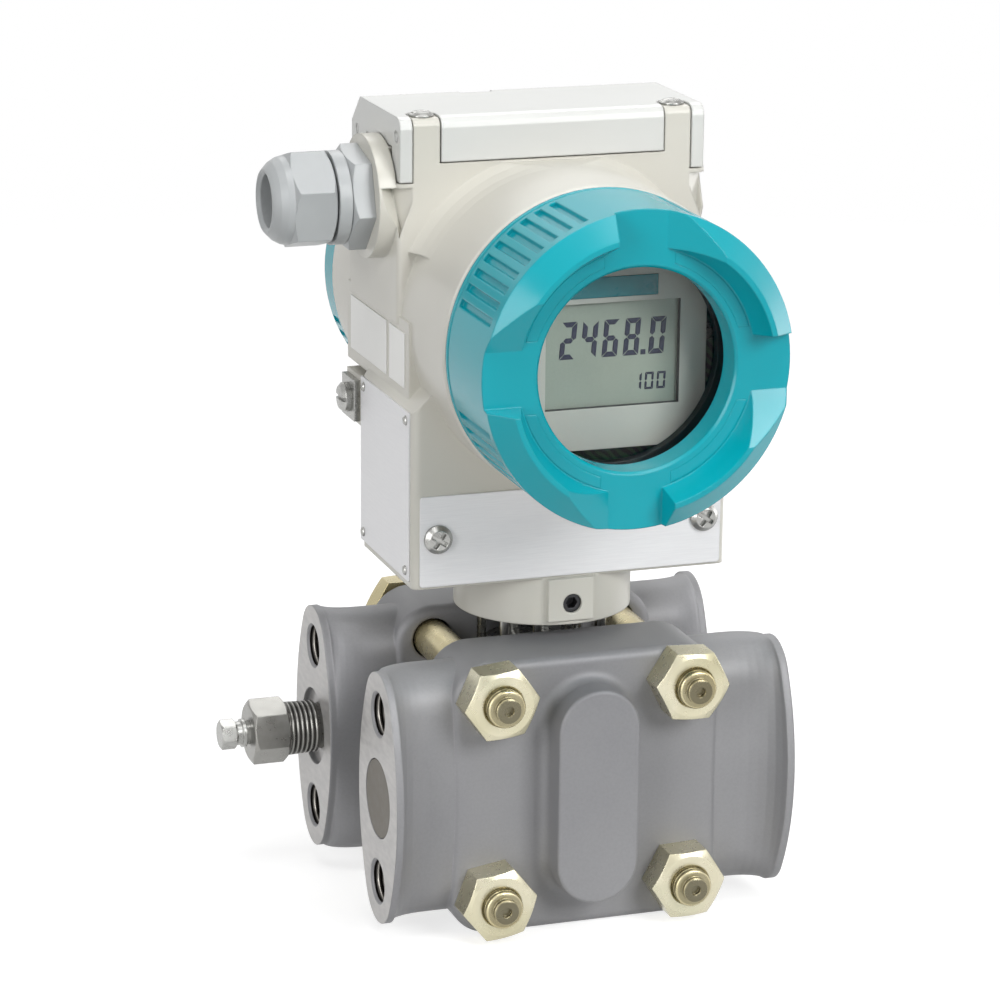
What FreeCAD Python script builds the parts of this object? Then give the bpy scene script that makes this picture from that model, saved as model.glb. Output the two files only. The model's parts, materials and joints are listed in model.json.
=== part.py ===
import FreeCAD, Part
import math
import os

# Differential pressure transmitter, millimetres.
# Origin: under the middle of the front flange's block, on the plane it stands on.
# +Z up, the display faces -Y, +X is to the right of someone reading the display.
# The pieces are drawn about the middle of the measuring cell, and moved to the origin at the end.

V = FreeCAD.Vector

# ---------------------------------------------------------------- process flanges
port_z = 34.6              # height of the process port axes
port_spacing = 54.0        # between the two port axes
mount_spacing = 41.3       # between the two mounting holes of one flange end
flange_half = 49.5         # half length of a flange, along X
cell_gap = 24.0            # between the flanges, filled by the measuring cell
head_half_width = 15.0     # half width of the oval end, along Y
head_corner_r = 10.0       # radius of the oval's ends
head_lip = 1.8             # thickness of the oval end's rim
lip_fillet = 9.0           # run of the swelling, along X
lip_steps = 6
body_depth = 21.6          # middle block, from the cell face to the nut face
body_set_back = 0.5        # oval body behind the nut face
block_top = 67.2           # top of the thick middle block
bolt_offset = 23.6         # bolts from the centre, along X
bolt_rise = 24.7           # and along Z
bolt_boss_r = 9.7          # rounding of the middle block round the bolts
pad_half_width = 10.0      # raised obround pad between the nuts
pad_half_height = 26.3
pad_rise = 8.6             # pad face above the nut face
pad_fillet = 2.6
mount_hole_r = 4.95
mount_hole_depth = 16.0
port_recess_r = 9.5
port_recess_depth = 1.6
port_bore_r = 5.6
port_bore_depth = 17.0
duct_r = 3.0               # duct from the port to the pressure chamber
chamber_r = 18.0
chamber_depth = 1.2

# ---------------------------------------------------------------- flange bolting
bolt_r = 4.6
bolt_hole_clearance = 0.5
nut_across_flats = 16.0
nut_height = 8.0
nut_face_share = 0.9       # turned face of a nut, of its width across flats
nut_turns = (6.0, -3.0, 9.0, 2.0)      # degrees each nut stopped at
head_height = 6.4
bolt_end = 4.0             # past the nut
bolt_tip = 1.5             # its reduced end
bolt_tip_r = 3.0
bolt_dimple_r = 1.2
thread_clearance = 0.05

# ---------------------------------------------------------------- measuring cell
cell_r = 27.0
gasket_r = 22.0
gasket_width = 3.0
gasket_depth = 1.8
diaphragm_t = 0.3
diaphragm_rise = 0.35
lead_columns = 4
lead_pitch = 8.2
lead_row = 8.6             # rows of leads in front of and behind the centre
lead_r = 1.15
spigot_r = 17.0
spigot_height = 20.0
spigot_groove = 1.6
groove_half = 3.2
running_clearance = 0.05

# ---------------------------------------------------------------- housing
neck_r = 21.3
neck_gap = 3.7             # from the flange block to the neck
neck_height = 11.4
neck_pad_half = 5.4
set_screw_r = 2.3
block_overhang = 1.2       # lower block beyond the box on each side
block_half_depth = 20.2
block_height = 48.0
block_slope = 6.0          # chamfer under the drum
drum_height = 71.0         # drum axis above the neck's lower face
drum_r = 36.9
drum_front = -35.5
drum_back = 53.0
chamber_bore_r = 32.0      # threaded bore of each chamber
wall_front = -6.0          # partition between the chambers
wall_t = 4.0
box_half_width = 37.8
side_pad_set_in = 0.4      # label pads inside the box's side
box_front = -4.0
box_back = 33.8
box_top = 46.8             # underside of the key cover's top, above the drum axis
deck_drop = 9.5            # key deck below the underside of the key cover
entry_y = 11.0
entry_rise = 27.8          # cable entries above the drum axis
entry_boss_r = 14.6
entry_boss_left = 4.2
entry_boss_right = 0.4
entry_bore_r = 9.2
entry_bore_depth = 12.0
entry_duct_r = 6.0

# ---------------------------------------------------------------- front and rear covers
cover_r = 36.5
cover_gap = 0.4            # between drum and cover rim
cover_thread_r = 31.9
cover_thread_length = 10.0
cover_skirt_r = 29.4        # inside of the threaded skirt
front_cover_depth = 25.5
rear_cover_depth = 9.6
window_r = 23.3
window_lip_r = 24.8
tooth_count = 4
tooth_inner_r = 28.0
tooth_peak_r = 30.4
tooth_crest_r = 31.6
tooth_height = 6.2
tooth_rim_height = 1.9
slot_half = 6.4
ramp_run = 11.6
letter_recess = 0.6
rib_count = 9
rib_pitch = 6.1            # degrees
rib_depth = 0.9
glass_r = 27.0
glass_t = 6.0
glass_set_back = 7.2
retainer_t = 2.4
o_ring_r = 0.75
o_ring_groove = 1.5

# ---------------------------------------------------------------- display and electronics
display_front = -44.0
lcd_half_width = 16.1
lcd_half_height = 12.1
bezel_half_width = 22.5
bezel_half_height = 21.8
bezel_corner = 6.6
bezel_depth = 6.0
bezel_wall = 1.6
plate_half_width = 10.6
plate_height = 4.8
module_r = 27.4
module_depth = 9.0
board_r = 27.6
board_t = 1.6
standoff_r = 2.5
standoff_reach = 24.9
display_screw_r = 1.9

# ---------------------------------------------------------------- terminals
terminal_width = 34.0
terminal_height = 15.0
terminal_depth = 13.0
terminal_count = 4
terminal_screw_r = 2.6

# ---------------------------------------------------------------- key cover and keys
lid_set_in = 0.4           # key cover's side inside the box's side
lid_wall = 1.5
lid_front_skirt = 9.0      # front skirt below the lid's underside
lid_side_skirt = 5.9
lid_tab_drop = 13.4
lid_tab_width = 3.0
lid_rear_drop = 11.8
lid_rear_corner = 11.5
lid_top_back = 27.4
lid_slope_drop = 6.5
lid_clearance = 0.35
hinge_y = 29.6
hinge_drop = 6.5           # hinge axis below the lid's underside
hinge_pin_r = 1.2
hinge_eye_r = 2.15
hinge_arm_back = 0.6       # back of the eye's arm in front of the hinge axis
knuckle_width = 5.0
rear_band = 18.0           # middle of the lid's rear wall, shortened to pass over the drum
rear_wall_drop = 2.9       # its lower edge below the hinge axis
post_inset = 6.9           # posts that carry the screws, from the box's side
post_half = 3.2
post_back = 4.4            # screw axis behind the box front
key_pitch = 14.0
key_r = 4.6
key_rise = 3.0
key_travel = 1.2
key_boot_height = 3.6

# ---------------------------------------------------------------- cable gland and plug
gland_flats = 21.6
gland_hex = 5.3
gland_collar_r = 11.0
gland_collar = 3.0
gland_nut_flats = 20.8
gland_nut_hex = 10.4
gland_nut_dome = 4.5
gland_nut_gap = 0.3
gland_bore_r = 6.2
gland_seal_bore_r = 4.4
gland_thread_r = 9.1
gland_spigot_r = 8.6
seal_t = 1.1
plug_socket = 8.0          # across flats

# ---------------------------------------------------------------- plates and small parts
plate_t = 0.5
label_inset = 1.6          # ends of the front label plate, from the block's side
label_low = 12.0           # label plate above the neck's lower face
label_high = 33.8
name_low = 13.0
name_high = 57.8
rivet_r = 1.2
label_screw_r = 3.4
side_label_low = 56.9
side_label_high = 70.0
side_label_front = -8.6    # along Y
side_label_split = 3.2
side_label_gap = 2.3
side_label_back = 34.5
side_pad_margin = 3.0
label_screw_inset = 4.3
earth_low = 40.6
earth_high = 52.6

# ---------------------------------------------------------------- vent valve and blanking plug
vent_flats = 14.0
vent_hex = 9.0
vent_thread_r = 6.6
vent_thread = 7.5
vent_stem_r = 2.9
vent_stem_length = 3.4
vent_head_flats = 6.4
vent_head = 3.9
hole_chamfer = 0.6

# ---------------------------------------------------------------- places worked out from the sizes above
port_y = port_spacing / 2
block_half_width = box_half_width + block_overhang
label_half_width = block_half_width - label_inset
side_pad_x = box_half_width - side_pad_set_in
lid_half_width = box_half_width - lid_set_in
post_x = box_half_width - post_inset
cell_half = cell_gap / 2
nut_face = cell_half + body_depth
head_front = port_y + head_half_width
foot_y = (cell_half + nut_face) / 2
neck_z = block_top + neck_gap
drum_z = neck_z + drum_height
cover_rim = drum_front - cover_gap
cover_front = cover_rim - front_cover_depth
rear_rim = drum_back + cover_gap
lid_under = drum_z + box_top
deck_z = lid_under - deck_drop
entry_z = drum_z + entry_rise
hinge_z = lid_under - hinge_drop
block_z = neck_z + neck_height
glass_front = cover_front + glass_set_back
bolt_places = [(sx * bolt_offset, port_z + sz * bolt_rise) for sz in (1, -1) for sx in (-1, 1)]
mount_places = [port_z + s * mount_spacing / 2 for s in (1, -1)]


# ---------------------------------------------------------------- geometry helpers
def point(axis, along, across):
    """Point from a place along an axis and the two coordinates across it, in X, Y, Z order."""
    a, b = across
    return {"x": V(along, a, b), "y": V(a, along, b), "z": V(a, b, along)}[axis]


def direction(axis):
    return {"x": V(1, 0, 0), "y": V(0, 1, 0), "z": V(0, 0, 1)}[axis]


def cylinder(axis, radius, start, end, across=(0, 0)):
    low, high = min(start, end), max(start, end)
    return Part.makeCylinder(radius, high - low, point(axis, low, across), direction(axis))


def block(x0, x1, y0, y1, z0, z1):
    return Part.makeBox(x1 - x0, y1 - y0, z1 - z0, V(x0, y0, z0))


def ring(axis, outer, inner, start, end, across=(0, 0)):
    return cylinder(axis, outer, start, end, across).cut(cylinder(axis, inner, start, end, across))


def turned(axis, profile, across=(0, 0)):
    """Solid of revolution; the profile holds (radius, place along the axis) corners."""
    a, b = across
    along_first = axis == "x"
    corners = []
    for radius, along in profile:
        offset = (a + radius, b) if not along_first else (a, b + radius)
        corners.append(point(axis, along, offset))
    face = Part.Face(Part.makePolygon(corners + corners[:1]))
    return face.revolve(point(axis, 0, across), direction(axis), 360)


def hexagon(axis, flats, start, end, across=(0, 0), turn=0.0):
    """Hexagonal prism with flats above and below when turn is 0."""
    low, high = min(start, end), max(start, end)
    radius = flats / math.sqrt(3)
    corners = []
    for k in range(6):
        angle = math.radians(60 * k + turn)
        offset = (across[0] + radius * math.cos(angle), across[1] + radius * math.sin(angle))
        corners.append(point(axis, low, offset))
    face = Part.Face(Part.makePolygon(corners + corners[:1]))
    return face.extrude(direction(axis) * (high - low))


def chamfered_hexagon(axis, flats, start, end, across=(0, 0), turn=0.0, at_start=False, at_end=False,
                      face_share=0.96):
    """Hexagon whose corners are turned off at 30 degrees at the ends asked for."""
    prism = hexagon(axis, flats, start, end, across, turn)
    corner = flats / math.sqrt(3) + 0.01
    face_r = face_share * flats / 2
    drop = (corner - face_r) * math.tan(math.radians(30))
    sign = 1 if end > start else -1
    first = face_r if at_start else corner
    last = face_r if at_end else corner
    profile = [(0, start), (first, start), (corner, start + sign * drop),
               (corner, end - sign * drop), (last, end), (0, end)]
    return prism.common(turned(axis, profile, across))


def prism(axis, corners, start, end):
    """Straight-sided prism; corners are given across the axis, in X, Y, Z order."""
    points = [point(axis, start, c) for c in corners]
    face = Part.Face(Part.makePolygon(points + points[:1]))
    return face.extrude(direction(axis) * (end - start))


def fused(shapes):
    whole = shapes[0]
    for shape in shapes[1:]:
        whole = whole.fuse(shape)
    return whole.removeSplitter()


def cut(body, tools):
    for tool in tools:
        body = body.cut(tool)
    return body


def mirror_x(shape):
    return shape.mirror(V(0, 0, 0), V(1, 0, 0))


def half_turn(shape):
    """The same piece on the other side of the cell, turned about the vertical centre line."""
    turned_piece = shape.copy()
    turned_piece.rotate(V(0, 0, 0), V(0, 0, 1), 180)
    return turned_piece


def about_drum(shape, degrees):
    """The same form turned about the drum's axis."""
    copy = shape.copy()
    copy.rotate(V(0, 0, drum_z), V(0, 1, 0), degrees)
    return copy


def edges_along(shape, axis, low, high, check=lambda box: True):
    """Edges that run straight along an axis between two limits."""
    chosen = []
    for edge in shape.Edges:
        box = edge.BoundBox
        spans = {"x": (box.XMin, box.XMax, box.YLength + box.ZLength),
                 "y": (box.YMin, box.YMax, box.XLength + box.ZLength),
                 "z": (box.ZMin, box.ZMax, box.XLength + box.YLength)}[axis]
        straight = spans[2] < 1e-6
        if straight and spans[0] > low - 1e-6 and spans[1] < high + 1e-6 and check(box):
            chosen.append(edge)
    return chosen


# ---------------------------------------------------------------- process flanges
def oval_wire(x, front):
    """Cross-section of a flange at x, reaching forward to y = -front: round ends, shallow sides."""
    half = (front - cell_half) / 2
    y = -(cell_half + half)
    z = port_z
    reach = mount_spacing / 2
    side_r = (half ** 2 + reach ** 2 - head_corner_r ** 2) / (2 * (half - head_corner_r))
    scale = head_corner_r / (side_r - head_corner_r)
    touch_y = (side_r - half) * scale
    touch_z = reach * (1 + scale)
    top = V(x, y, z + reach + head_corner_r)
    bottom = V(x, y, z - reach - head_corner_r)
    arcs = [
        Part.Arc(V(x, y - touch_y, z + touch_z), top, V(x, y + touch_y, z + touch_z)),
        Part.Arc(V(x, y + touch_y, z + touch_z), V(x, y + half, z), V(x, y + touch_y, z - touch_z)),
        Part.Arc(V(x, y + touch_y, z - touch_z), bottom, V(x, y - touch_y, z - touch_z)),
        Part.Arc(V(x, y - touch_y, z - touch_z), V(x, y - half, z), V(x, y - touch_y, z + touch_z)),
    ]
    return Part.Wire([arc.toShape() for arc in arcs])


def oval_body():
    """Oval bar that swells into a thicker rim at each end."""
    wall = flange_half - head_lip
    body_front = nut_face - body_set_back
    rise = head_front - body_front
    bar = Part.Face(oval_wire(lip_fillet - wall, body_front)).extrude(V(2 * (wall - lip_fillet), 0, 0))
    solids = [bar]
    for side in (1, -1):
        wires = []
        for k in range(lip_steps + 1):
            angle = math.pi / 2 * k / lip_steps
            x = wall - lip_fillet * (1 - math.sin(angle))
            wires.append(oval_wire(side * x, body_front + rise * (1 - math.cos(angle))))
        solids.append(Part.makeLoft(wires, True, True))
        solids.append(Part.Face(oval_wire(side * wall, head_front)).extrude(V(side * head_lip, 0, 0)))
    return fused(solids)


def middle_block():
    """Thick block that the four bolts pull on, rounded round the bolts."""
    half = bolt_offset + bolt_boss_r
    solid = block(-half, half, -nut_face, -cell_half, 0, block_top)
    solid = solid.makeFillet(bolt_boss_r, edges_along(solid, "y", -nut_face, -cell_half))
    front = [e for e in solid.Edges if e.BoundBox.YMax < -nut_face + 1e-6]
    back = [e for e in solid.Edges if e.BoundBox.YMin > -cell_half - 1e-6]
    return solid.makeFillet(2.2, front + back)


def flange_pad():
    """Raised obround pad between the nuts."""
    w, h = pad_half_width, pad_half_height
    low, top = -nut_face + 1.0, -nut_face - pad_rise
    reach = h - w
    pad = fused([block(-w, w, top, low, port_z - reach, port_z + reach),
                 cylinder("y", w, top, low, (0, port_z + reach)),
                 cylinder("y", w, top, low, (0, port_z - reach))])
    rim = [e for e in pad.Edges if e.BoundBox.YMax < top + 1e-6]
    return pad.makeFillet(0.7, rim)


def drilled(radius, face, depth, left_open, chamfer, place):
    """Blind hole along X with a chamfered mouth and a drill point, flat or open below a given radius."""
    bottom = face - depth
    point_run = (radius - left_open) * math.tan(math.radians(31)) * math.copysign(1, depth)
    edge = math.copysign(chamfer, depth)
    profile = [(0, face), (radius + chamfer, face), (radius, face - edge), (radius, bottom),
               (left_open, bottom - point_run), (0, bottom - point_run)]
    if not chamfer:
        profile.pop(1)
        profile[1] = (radius, face)
    if not left_open:
        profile.pop()
    return turned("x", profile, place)


def flange():
    """Front flange: one casting with ports, mounting holes, bolt holes and a pressure chamber."""
    body = fused([oval_body(), middle_block()])
    body = fused([body, flange_pad()])
    foot = [e for e in body.Edges if abs(e.BoundBox.YMax + nut_face) < 1e-5 and e.BoundBox.YLength < 1e-5
            and max(abs(e.BoundBox.XMin), abs(e.BoundBox.XMax)) < pad_half_width + 1e-5]
    body = body.makeFillet(pad_fillet, foot)
    hole_r = bolt_r + bolt_hole_clearance
    tools = [cylinder("y", hole_r, -head_front, 0, place) for place in bolt_places]
    for s in (1, -1):
        end = s * flange_half
        for z in mount_places:
            place = (-port_y, z)
            tools.append(drilled(mount_hole_r, end, s * mount_hole_depth, 0.0, hole_chamfer, place))
        place = (-port_y, port_z)
        tools.append(cylinder("x", port_recess_r, end, end - s * port_recess_depth, place))
        tools.append(drilled(port_bore_r, end, s * port_bore_depth, duct_r, 0.0, place))
    tools.append(cylinder("x", duct_r, -flange_half + 1, flange_half - 1, (-port_y, port_z)))
    tools.append(cylinder("y", duct_r, -port_y, 0, (0, port_z)))
    tools.append(cylinder("y", chamber_r, -cell_half - chamber_depth, -cell_half, (0, port_z)))
    return cut(body, tools)


def blanking_plug():
    """Flush disc and thread that close the front flange's left port."""
    face = -flange_half
    gap = thread_clearance
    head = cylinder("x", port_recess_r - 0.2, face + 0.1, face + port_recess_depth, (-port_y, port_z))
    thread = cylinder("x", port_bore_r - gap, face + port_recess_depth, face + port_bore_depth - 4, (-port_y, port_z))
    return fused([head, thread])


# ---------------------------------------------------------------- flange bolting
def flange_bolts():
    """Four hexagon bolts from the rear, each with a reduced, dimpled end past its nut."""
    end = -nut_face - nut_height - bolt_end
    bolts = []
    for x, z in bolt_places:
        step = end + bolt_tip
        shank = turned("y", [(0, nut_face), (bolt_r, nut_face), (bolt_r, step + 0.6), (bolt_r - 0.6, step),
                             (bolt_tip_r, step), (bolt_tip_r, end + 0.3), (bolt_tip_r - 0.3, end), (0, end)], (x, z))
        shank = shank.cut(cylinder("y", bolt_dimple_r, end, end + 1.2, (x, z)))
        head = chamfered_hexagon("y", nut_across_flats, nut_face, nut_face + head_height, (x, z), 0, False, True)
        bolts.append(fused([shank, head]))
    return Part.makeCompound(bolts)


def flange_nuts():
    nuts = []
    for (x, z), turn in zip(bolt_places, nut_turns):
        nut = chamfered_hexagon("y", nut_across_flats, -nut_face, -nut_face - nut_height, (x, z), turn, False, True,
                                nut_face_share)
        bore = cylinder("y", bolt_r + thread_clearance, 0, -nut_face - nut_height - 1, (x, z))
        mouth = turned("y", [(0, -nut_face - nut_height), (bolt_r + 0.4, -nut_face - nut_height),
                             (bolt_r, -nut_face - nut_height + 0.4), (0, -nut_face - nut_height + 0.4)], (x, z))
        nuts.append(cut(nut, [bore, mouth]))
    return Part.makeCompound(nuts)


# ---------------------------------------------------------------- measuring cell
def measuring_cell():
    """Round steel cell clamped between the flanges, grooved for its two gaskets."""
    cell = cylinder("y", cell_r, -cell_half, cell_half, (0, port_z))
    tools = []
    for s in (1, -1):
        face = s * cell_half
        tools.append(ring("y", gasket_r + gasket_width / 2, gasket_r - gasket_width / 2,
                          face, face - s * gasket_depth, (0, port_z)))
        tools.append(cylinder("y", chamber_r, face, face - s * diaphragm_rise, (0, port_z)))
    return cut(cell, tools)


def cell_gasket(side):
    face = side * cell_half
    return ring("y", gasket_r + gasket_width / 2, gasket_r - gasket_width / 2,
                face, face - side * gasket_depth, (0, port_z))


def diaphragm(side):
    """Thin pressed disc with round ripples on one face of the cell."""
    back = side * (cell_half - diaphragm_rise)
    ripples = 3
    steps = 4 * ripples
    outer, inner = [], []
    for k in range(steps + 1):
        radius = chamber_r * k / steps
        lift = diaphragm_rise * (0.5 - 0.5 * math.cos(2 * math.pi * ripples * k / steps))
        inner.append((radius, back + side * lift))
        outer.append((radius, back + side * (lift + diaphragm_t)))
    return turned("y", inner + outer[::-1], (0, port_z))


def lead_places():
    middle = (lead_columns - 1) / 2
    return [((k - middle) * lead_pitch, s * lead_row) for k in range(lead_columns) for s in (-1, 1)]


def cell_leads():
    """Rods that carry the spigot and the signals from the cell up to the housing."""
    rods = []
    top = neck_z + 0.6
    for x, y in lead_places():
        foot = port_z + math.sqrt(cell_r ** 2 - x ** 2) - 3.0
        rod = cylinder("z", lead_r, foot, top, (x, y))
        rods.append(rod.cut(cylinder("y", cell_r, -cell_half, cell_half, (0, port_z))))
    return Part.makeCompound(rods)


def cell_spigot():
    """Round spigot that the housing turns on, grooved for the set screw."""
    foot = neck_z + 0.6
    middle = set_screw_z()
    g, w = spigot_groove, groove_half
    return turned("z", [(0, foot), (spigot_r - 0.6, foot), (spigot_r, foot + 0.6), (spigot_r, middle - w),
                        (spigot_r - g, middle - w + 0.4), (spigot_r - g, middle + w - 0.4),
                        (spigot_r, middle + w), (spigot_r, foot + spigot_height), (0, foot + spigot_height)])


# ---------------------------------------------------------------- housing
def housing_block():
    """Lower block under the drum, with sloped shoulders, on a round neck."""
    w, d = block_half_width, block_half_depth
    top = block_z + block_height
    s = block_slope
    section = [(-w, block_z), (w, block_z), (w, top - s), (w - s, top), (-w + s, top), (-w, top - s)]
    body = prism("y", section, -d, d)
    body = body.makeFillet(2.0, edges_along(body, "z", block_z, top - s))
    neck = cylinder("z", neck_r, neck_z, block_z)
    pad = block(-neck_pad_half - 0.6, neck_pad_half, -neck_r - 0.5, 0, neck_z + 1.0, block_z)
    return [body, neck, pad]


def housing_drum():
    """Two-ended drum with a soft collar where it leaves the upper box."""
    profile = [(0, drum_front), (drum_r - 0.5, drum_front), (drum_r, drum_front + 0.5),
               (drum_r, drum_back - 0.5), (drum_r - 0.5, drum_back), (0, drum_back)]
    drum = turned("y", profile, (0, drum_z))
    collar = turned("y", [(drum_r - 1.0, box_front - 9.0), (drum_r, box_front - 9.0), (drum_r + 0.3, box_front - 6.0),
                          (drum_r + 1.0, box_front - 3.0), (drum_r + 2.2, box_front), (drum_r + 2.2, box_front + 1.0),
                          (drum_r - 1.0, box_front + 1.0)], (0, drum_z))
    collar = collar.common(block(-box_half_width, box_half_width, drum_front, 0, drum_z + 17.0, lid_under - 10.0))
    low, high = neck_z + side_label_low - side_pad_margin, neck_z + side_label_high + side_pad_margin
    pads = block(-side_pad_x, side_pad_x, side_label_front - side_pad_margin, side_label_back + side_pad_margin,
                 low, high)
    return [drum, pads, collar]


def lid_inner():
    """Half width of what stands inside the key cover's side walls."""
    return lid_half_width - lid_wall - lid_clearance


def housing_box():
    """Upper box with the two cable entries, stepped in at its top to take the key cover."""
    w = box_half_width
    tab_z = lid_under - lid_tab_drop - lid_clearance
    side_z = lid_under - lid_side_skirt - lid_clearance
    skirt_z = lid_under - lid_front_skirt - lid_clearance
    rear_z = lid_under - lid_rear_drop - lid_clearance
    wall = lid_wall + lid_clearance
    box = block(-w, w, box_front, box_back, drum_z, lid_under - lid_clearance)
    box = box.makeFillet(1.5, edges_along(box, "z", drum_z, lid_under, lambda b: b.YMin < 0))
    corner = math.hypot(box_back - lid_rear_corner - hinge_y, lid_rear_drop - hinge_drop)
    tools = []
    for s in (1, -1):
        low, high = sorted((s * lid_inner(), s * (w + 1)))
        tools.append(block(low, high, box_front - 1, box_back + 1, side_z, lid_under + 1))
        tools.append(block(low, high, hinge_y - corner - lid_clearance, box_back + 1, rear_z, lid_under))
        low, high = sorted((s * (lid_half_width - lid_tab_width - lid_clearance), s * (w + 1)))
        tools.append(block(low, high, box_front - 1, box_front + tab_length() + 4 * lid_clearance, tab_z, lid_under + 1))
    front_x = post_x - post_half
    tools.append(block(-front_x, front_x, box_front - 1, box_front + wall + lid_clearance, skirt_z, lid_under + 1))
    tools.append(block(-front_x, front_x, box_front - 1, box_front + wall + 1.4, lid_under - 1.2, lid_under + 1))
    relief = hinge_drop * math.sqrt(2) + lid_clearance
    tools.append(block(-w - 1, w + 1, hinge_y - relief, box_back + 1, rear_z, lid_under + 1))
    swing = math.hypot(box_back + 0.2 - hinge_y, lid_rear_drop - hinge_drop) + 2 * lid_clearance
    tools.append(cylinder("x", swing, -w - 1, w + 1, (hinge_y, hinge_z)))
    deck_side = entry_y + entry_boss_r
    tools.append(block(-24.0, 24.0, box_front + wall + 1.6, deck_side + 2.0, deck_z, lid_under + 1))
    knuckle = housing_knuckle()
    return [cut(box, tools), knuckle, mirror_x(knuckle)]


def housing_knuckle():
    """Eye beside the lid's side wall that holds the hinge pin, on an arm in front of it."""
    x0, x1 = lid_inner() - knuckle_width, lid_inner()
    eye = cylinder("x", hinge_eye_r, x0, x1, (hinge_y, hinge_z))
    arm = block(x0, x1, hinge_y - hinge_eye_r, hinge_y - hinge_arm_back, hinge_z - 12.0, hinge_z)
    web = block(x0, x1, hinge_y - 9.0, hinge_y - hinge_eye_r + 0.1, hinge_z - 12.0, hinge_z - 2.6)
    return fused([eye, arm, web])


def post_form(side, grow, low, high):
    """Plan of a post: straight from the front to its screw, then round."""
    half = post_half + grow
    centre = (side * post_x, box_front + post_back)
    x0, x1 = centre[0] - half, centre[0] + half
    return fused([block(x0, x1, box_front - grow, centre[1], low, high), cylinder("z", half, low, high, centre)])


def cover_posts():
    """Two posts that stand through the key cover's front edge and carry its screws."""
    posts = []
    top = lid_under + lid_wall - 0.4
    for side in (1, -1):
        post = post_form(side, 0.0, deck_z - 6.0, top)
        front = edges_along(post, "x", -2 * box_half_width, 2 * box_half_width,
                            lambda b: b.YMax < box_front + 1e-6 and b.ZMin > top - 1e-6)
        posts.append(post.makeFillet(2.0, front))
    return posts


def tab_length():
    return post_back + 1.6


def entry_bosses():
    return [cylinder("x", entry_boss_r, s * (lid_half_width + lid_clearance), entry_face(s), (entry_y, entry_z))
            for s in (1, -1)]


def entry_face(side):
    """Face of a cable entry's boss."""
    return side * (box_half_width + (entry_boss_right if side > 0 else entry_boss_left))


def earth_lug():
    """Lug on the rear left of the block for the earth terminal."""
    return block(-block_half_width, -block_half_width + 9.0, block_half_depth - 1.0, block_half_depth + 12.6,
                 neck_z + earth_low, neck_z + earth_high)


def corner_notch(side):
    """Three-cornered pocket under the front corner of the upper box."""
    middle = V(side * box_half_width, box_front, entry_z - 1.0)
    inward = V(-side * 0.7071, 0.7071, 0)
    across = V(0.7071, side * 0.7071, 0)
    start = middle - inward * 3.0
    corners = [start + across * 3.4 + V(0, 0, 5.2), start - across * 3.4 + V(0, 0, 5.2), start - V(0, 0, 6.6)]
    return Part.Face(Part.makePolygon(corners + corners[:1])).extrude(inward * 5.6)


def housing_openings():
    """Bores and chambers cut out of the casting."""
    tools = [
        cylinder("y", chamber_bore_r, drum_front - 1, wall_front, (0, drum_z)),
        cylinder("y", chamber_bore_r, wall_front + wall_t, drum_back + 1, (0, drum_z)),
        cylinder("z", spigot_r + running_clearance, neck_z - 1, neck_z + 0.6 + spigot_height + 0.4),
        cylinder("z", entry_duct_r, neck_z, drum_z - chamber_bore_r + 4, (0, -18.0 + 8.0)),
        cylinder("y", set_screw_r + thread_clearance, -neck_r - 3, 0, (0, set_screw_z())),
    ]
    for s in (1, -1):
        outer = entry_face(s)
        tools.append(cylinder("x", entry_bore_r, outer, outer - s * entry_bore_depth, (entry_y, entry_z)))
        tools.append(cylinder("x", entry_duct_r, outer, s * 8.0, (entry_y, entry_z)))
        tools.append(corner_notch(s))
        tools.append(cylinder("z", 1.6, lid_under - 8.0, lid_under + 4.0, (s * post_x, box_front + post_back)))
    for k in (-1, 0, 1):
        tools.append(cylinder("z", key_r - 1.6, deck_z - 5.0, deck_z + 1, (k * key_pitch, entry_y)))
    return tools


def housing():
    """Die-cast housing: drum, upper box, lower block and neck in one piece."""
    solids = housing_block() + housing_drum() + housing_box() + entry_bosses() + [earth_lug()]
    body = fused(solids)
    swing = math.hypot(box_back + 0.2 - hinge_y, rear_wall_drop) + lid_clearance
    body = body.cut(cylinder("x", swing, -rear_band, rear_band, (hinge_y, hinge_z)))
    body = fused([body] + cover_posts())
    for x, z in label_screw_places():
        body = body.cut(cylinder("y", 2.0, -block_half_depth - 1, -block_half_depth + 8, (x, z)))
    pin = cylinder("x", hinge_pin_r + running_clearance, -box_half_width, box_half_width, (hinge_y, hinge_z))
    body = cut(body, housing_openings() + [pin])
    return body.removeSplitter()


# ---------------------------------------------------------------- set screw
def set_screw_z():
    return neck_z + 5.2


def set_screw():
    """Hexagon-socket set screw that locks the housing on its spigot."""
    face = -neck_r + 0.2
    tip = -spigot_r + spigot_groove - 0.3
    screw = cylinder("y", set_screw_r, face, tip, (0, set_screw_z()))
    return screw.cut(hexagon("y", 2.5, face, face + 2.6, (0, set_screw_z())))


# ---------------------------------------------------------------- front cover
def tooth_ring(front):
    """Full ring with the section of a tooth: steep inside, sloping away outside."""
    peak = front - tooth_height
    profile = [(tooth_inner_r, front + 1.0), (tooth_inner_r, front), (tooth_peak_r, peak), (tooth_crest_r, peak),
               (cover_r, front - tooth_rim_height), (cover_r, front + 1.0)]
    return turned("y", profile, (0, drum_z))


def slot_and_ramp(front):
    """What is cut away at one slot: a parallel slot, then a ramp up to the next tooth."""
    reach = cover_r + 2
    floor = front
    peak = front - tooth_height - 1.0
    run = ramp_run * (tooth_height + 1.0) / tooth_height
    z0, z1 = drum_z, drum_z + reach
    corners = [(-slot_half - 0.9, peak), (-slot_half, floor), (slot_half, floor), (slot_half + run, peak)]
    return prism("z", corners, z0, z1)


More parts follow.
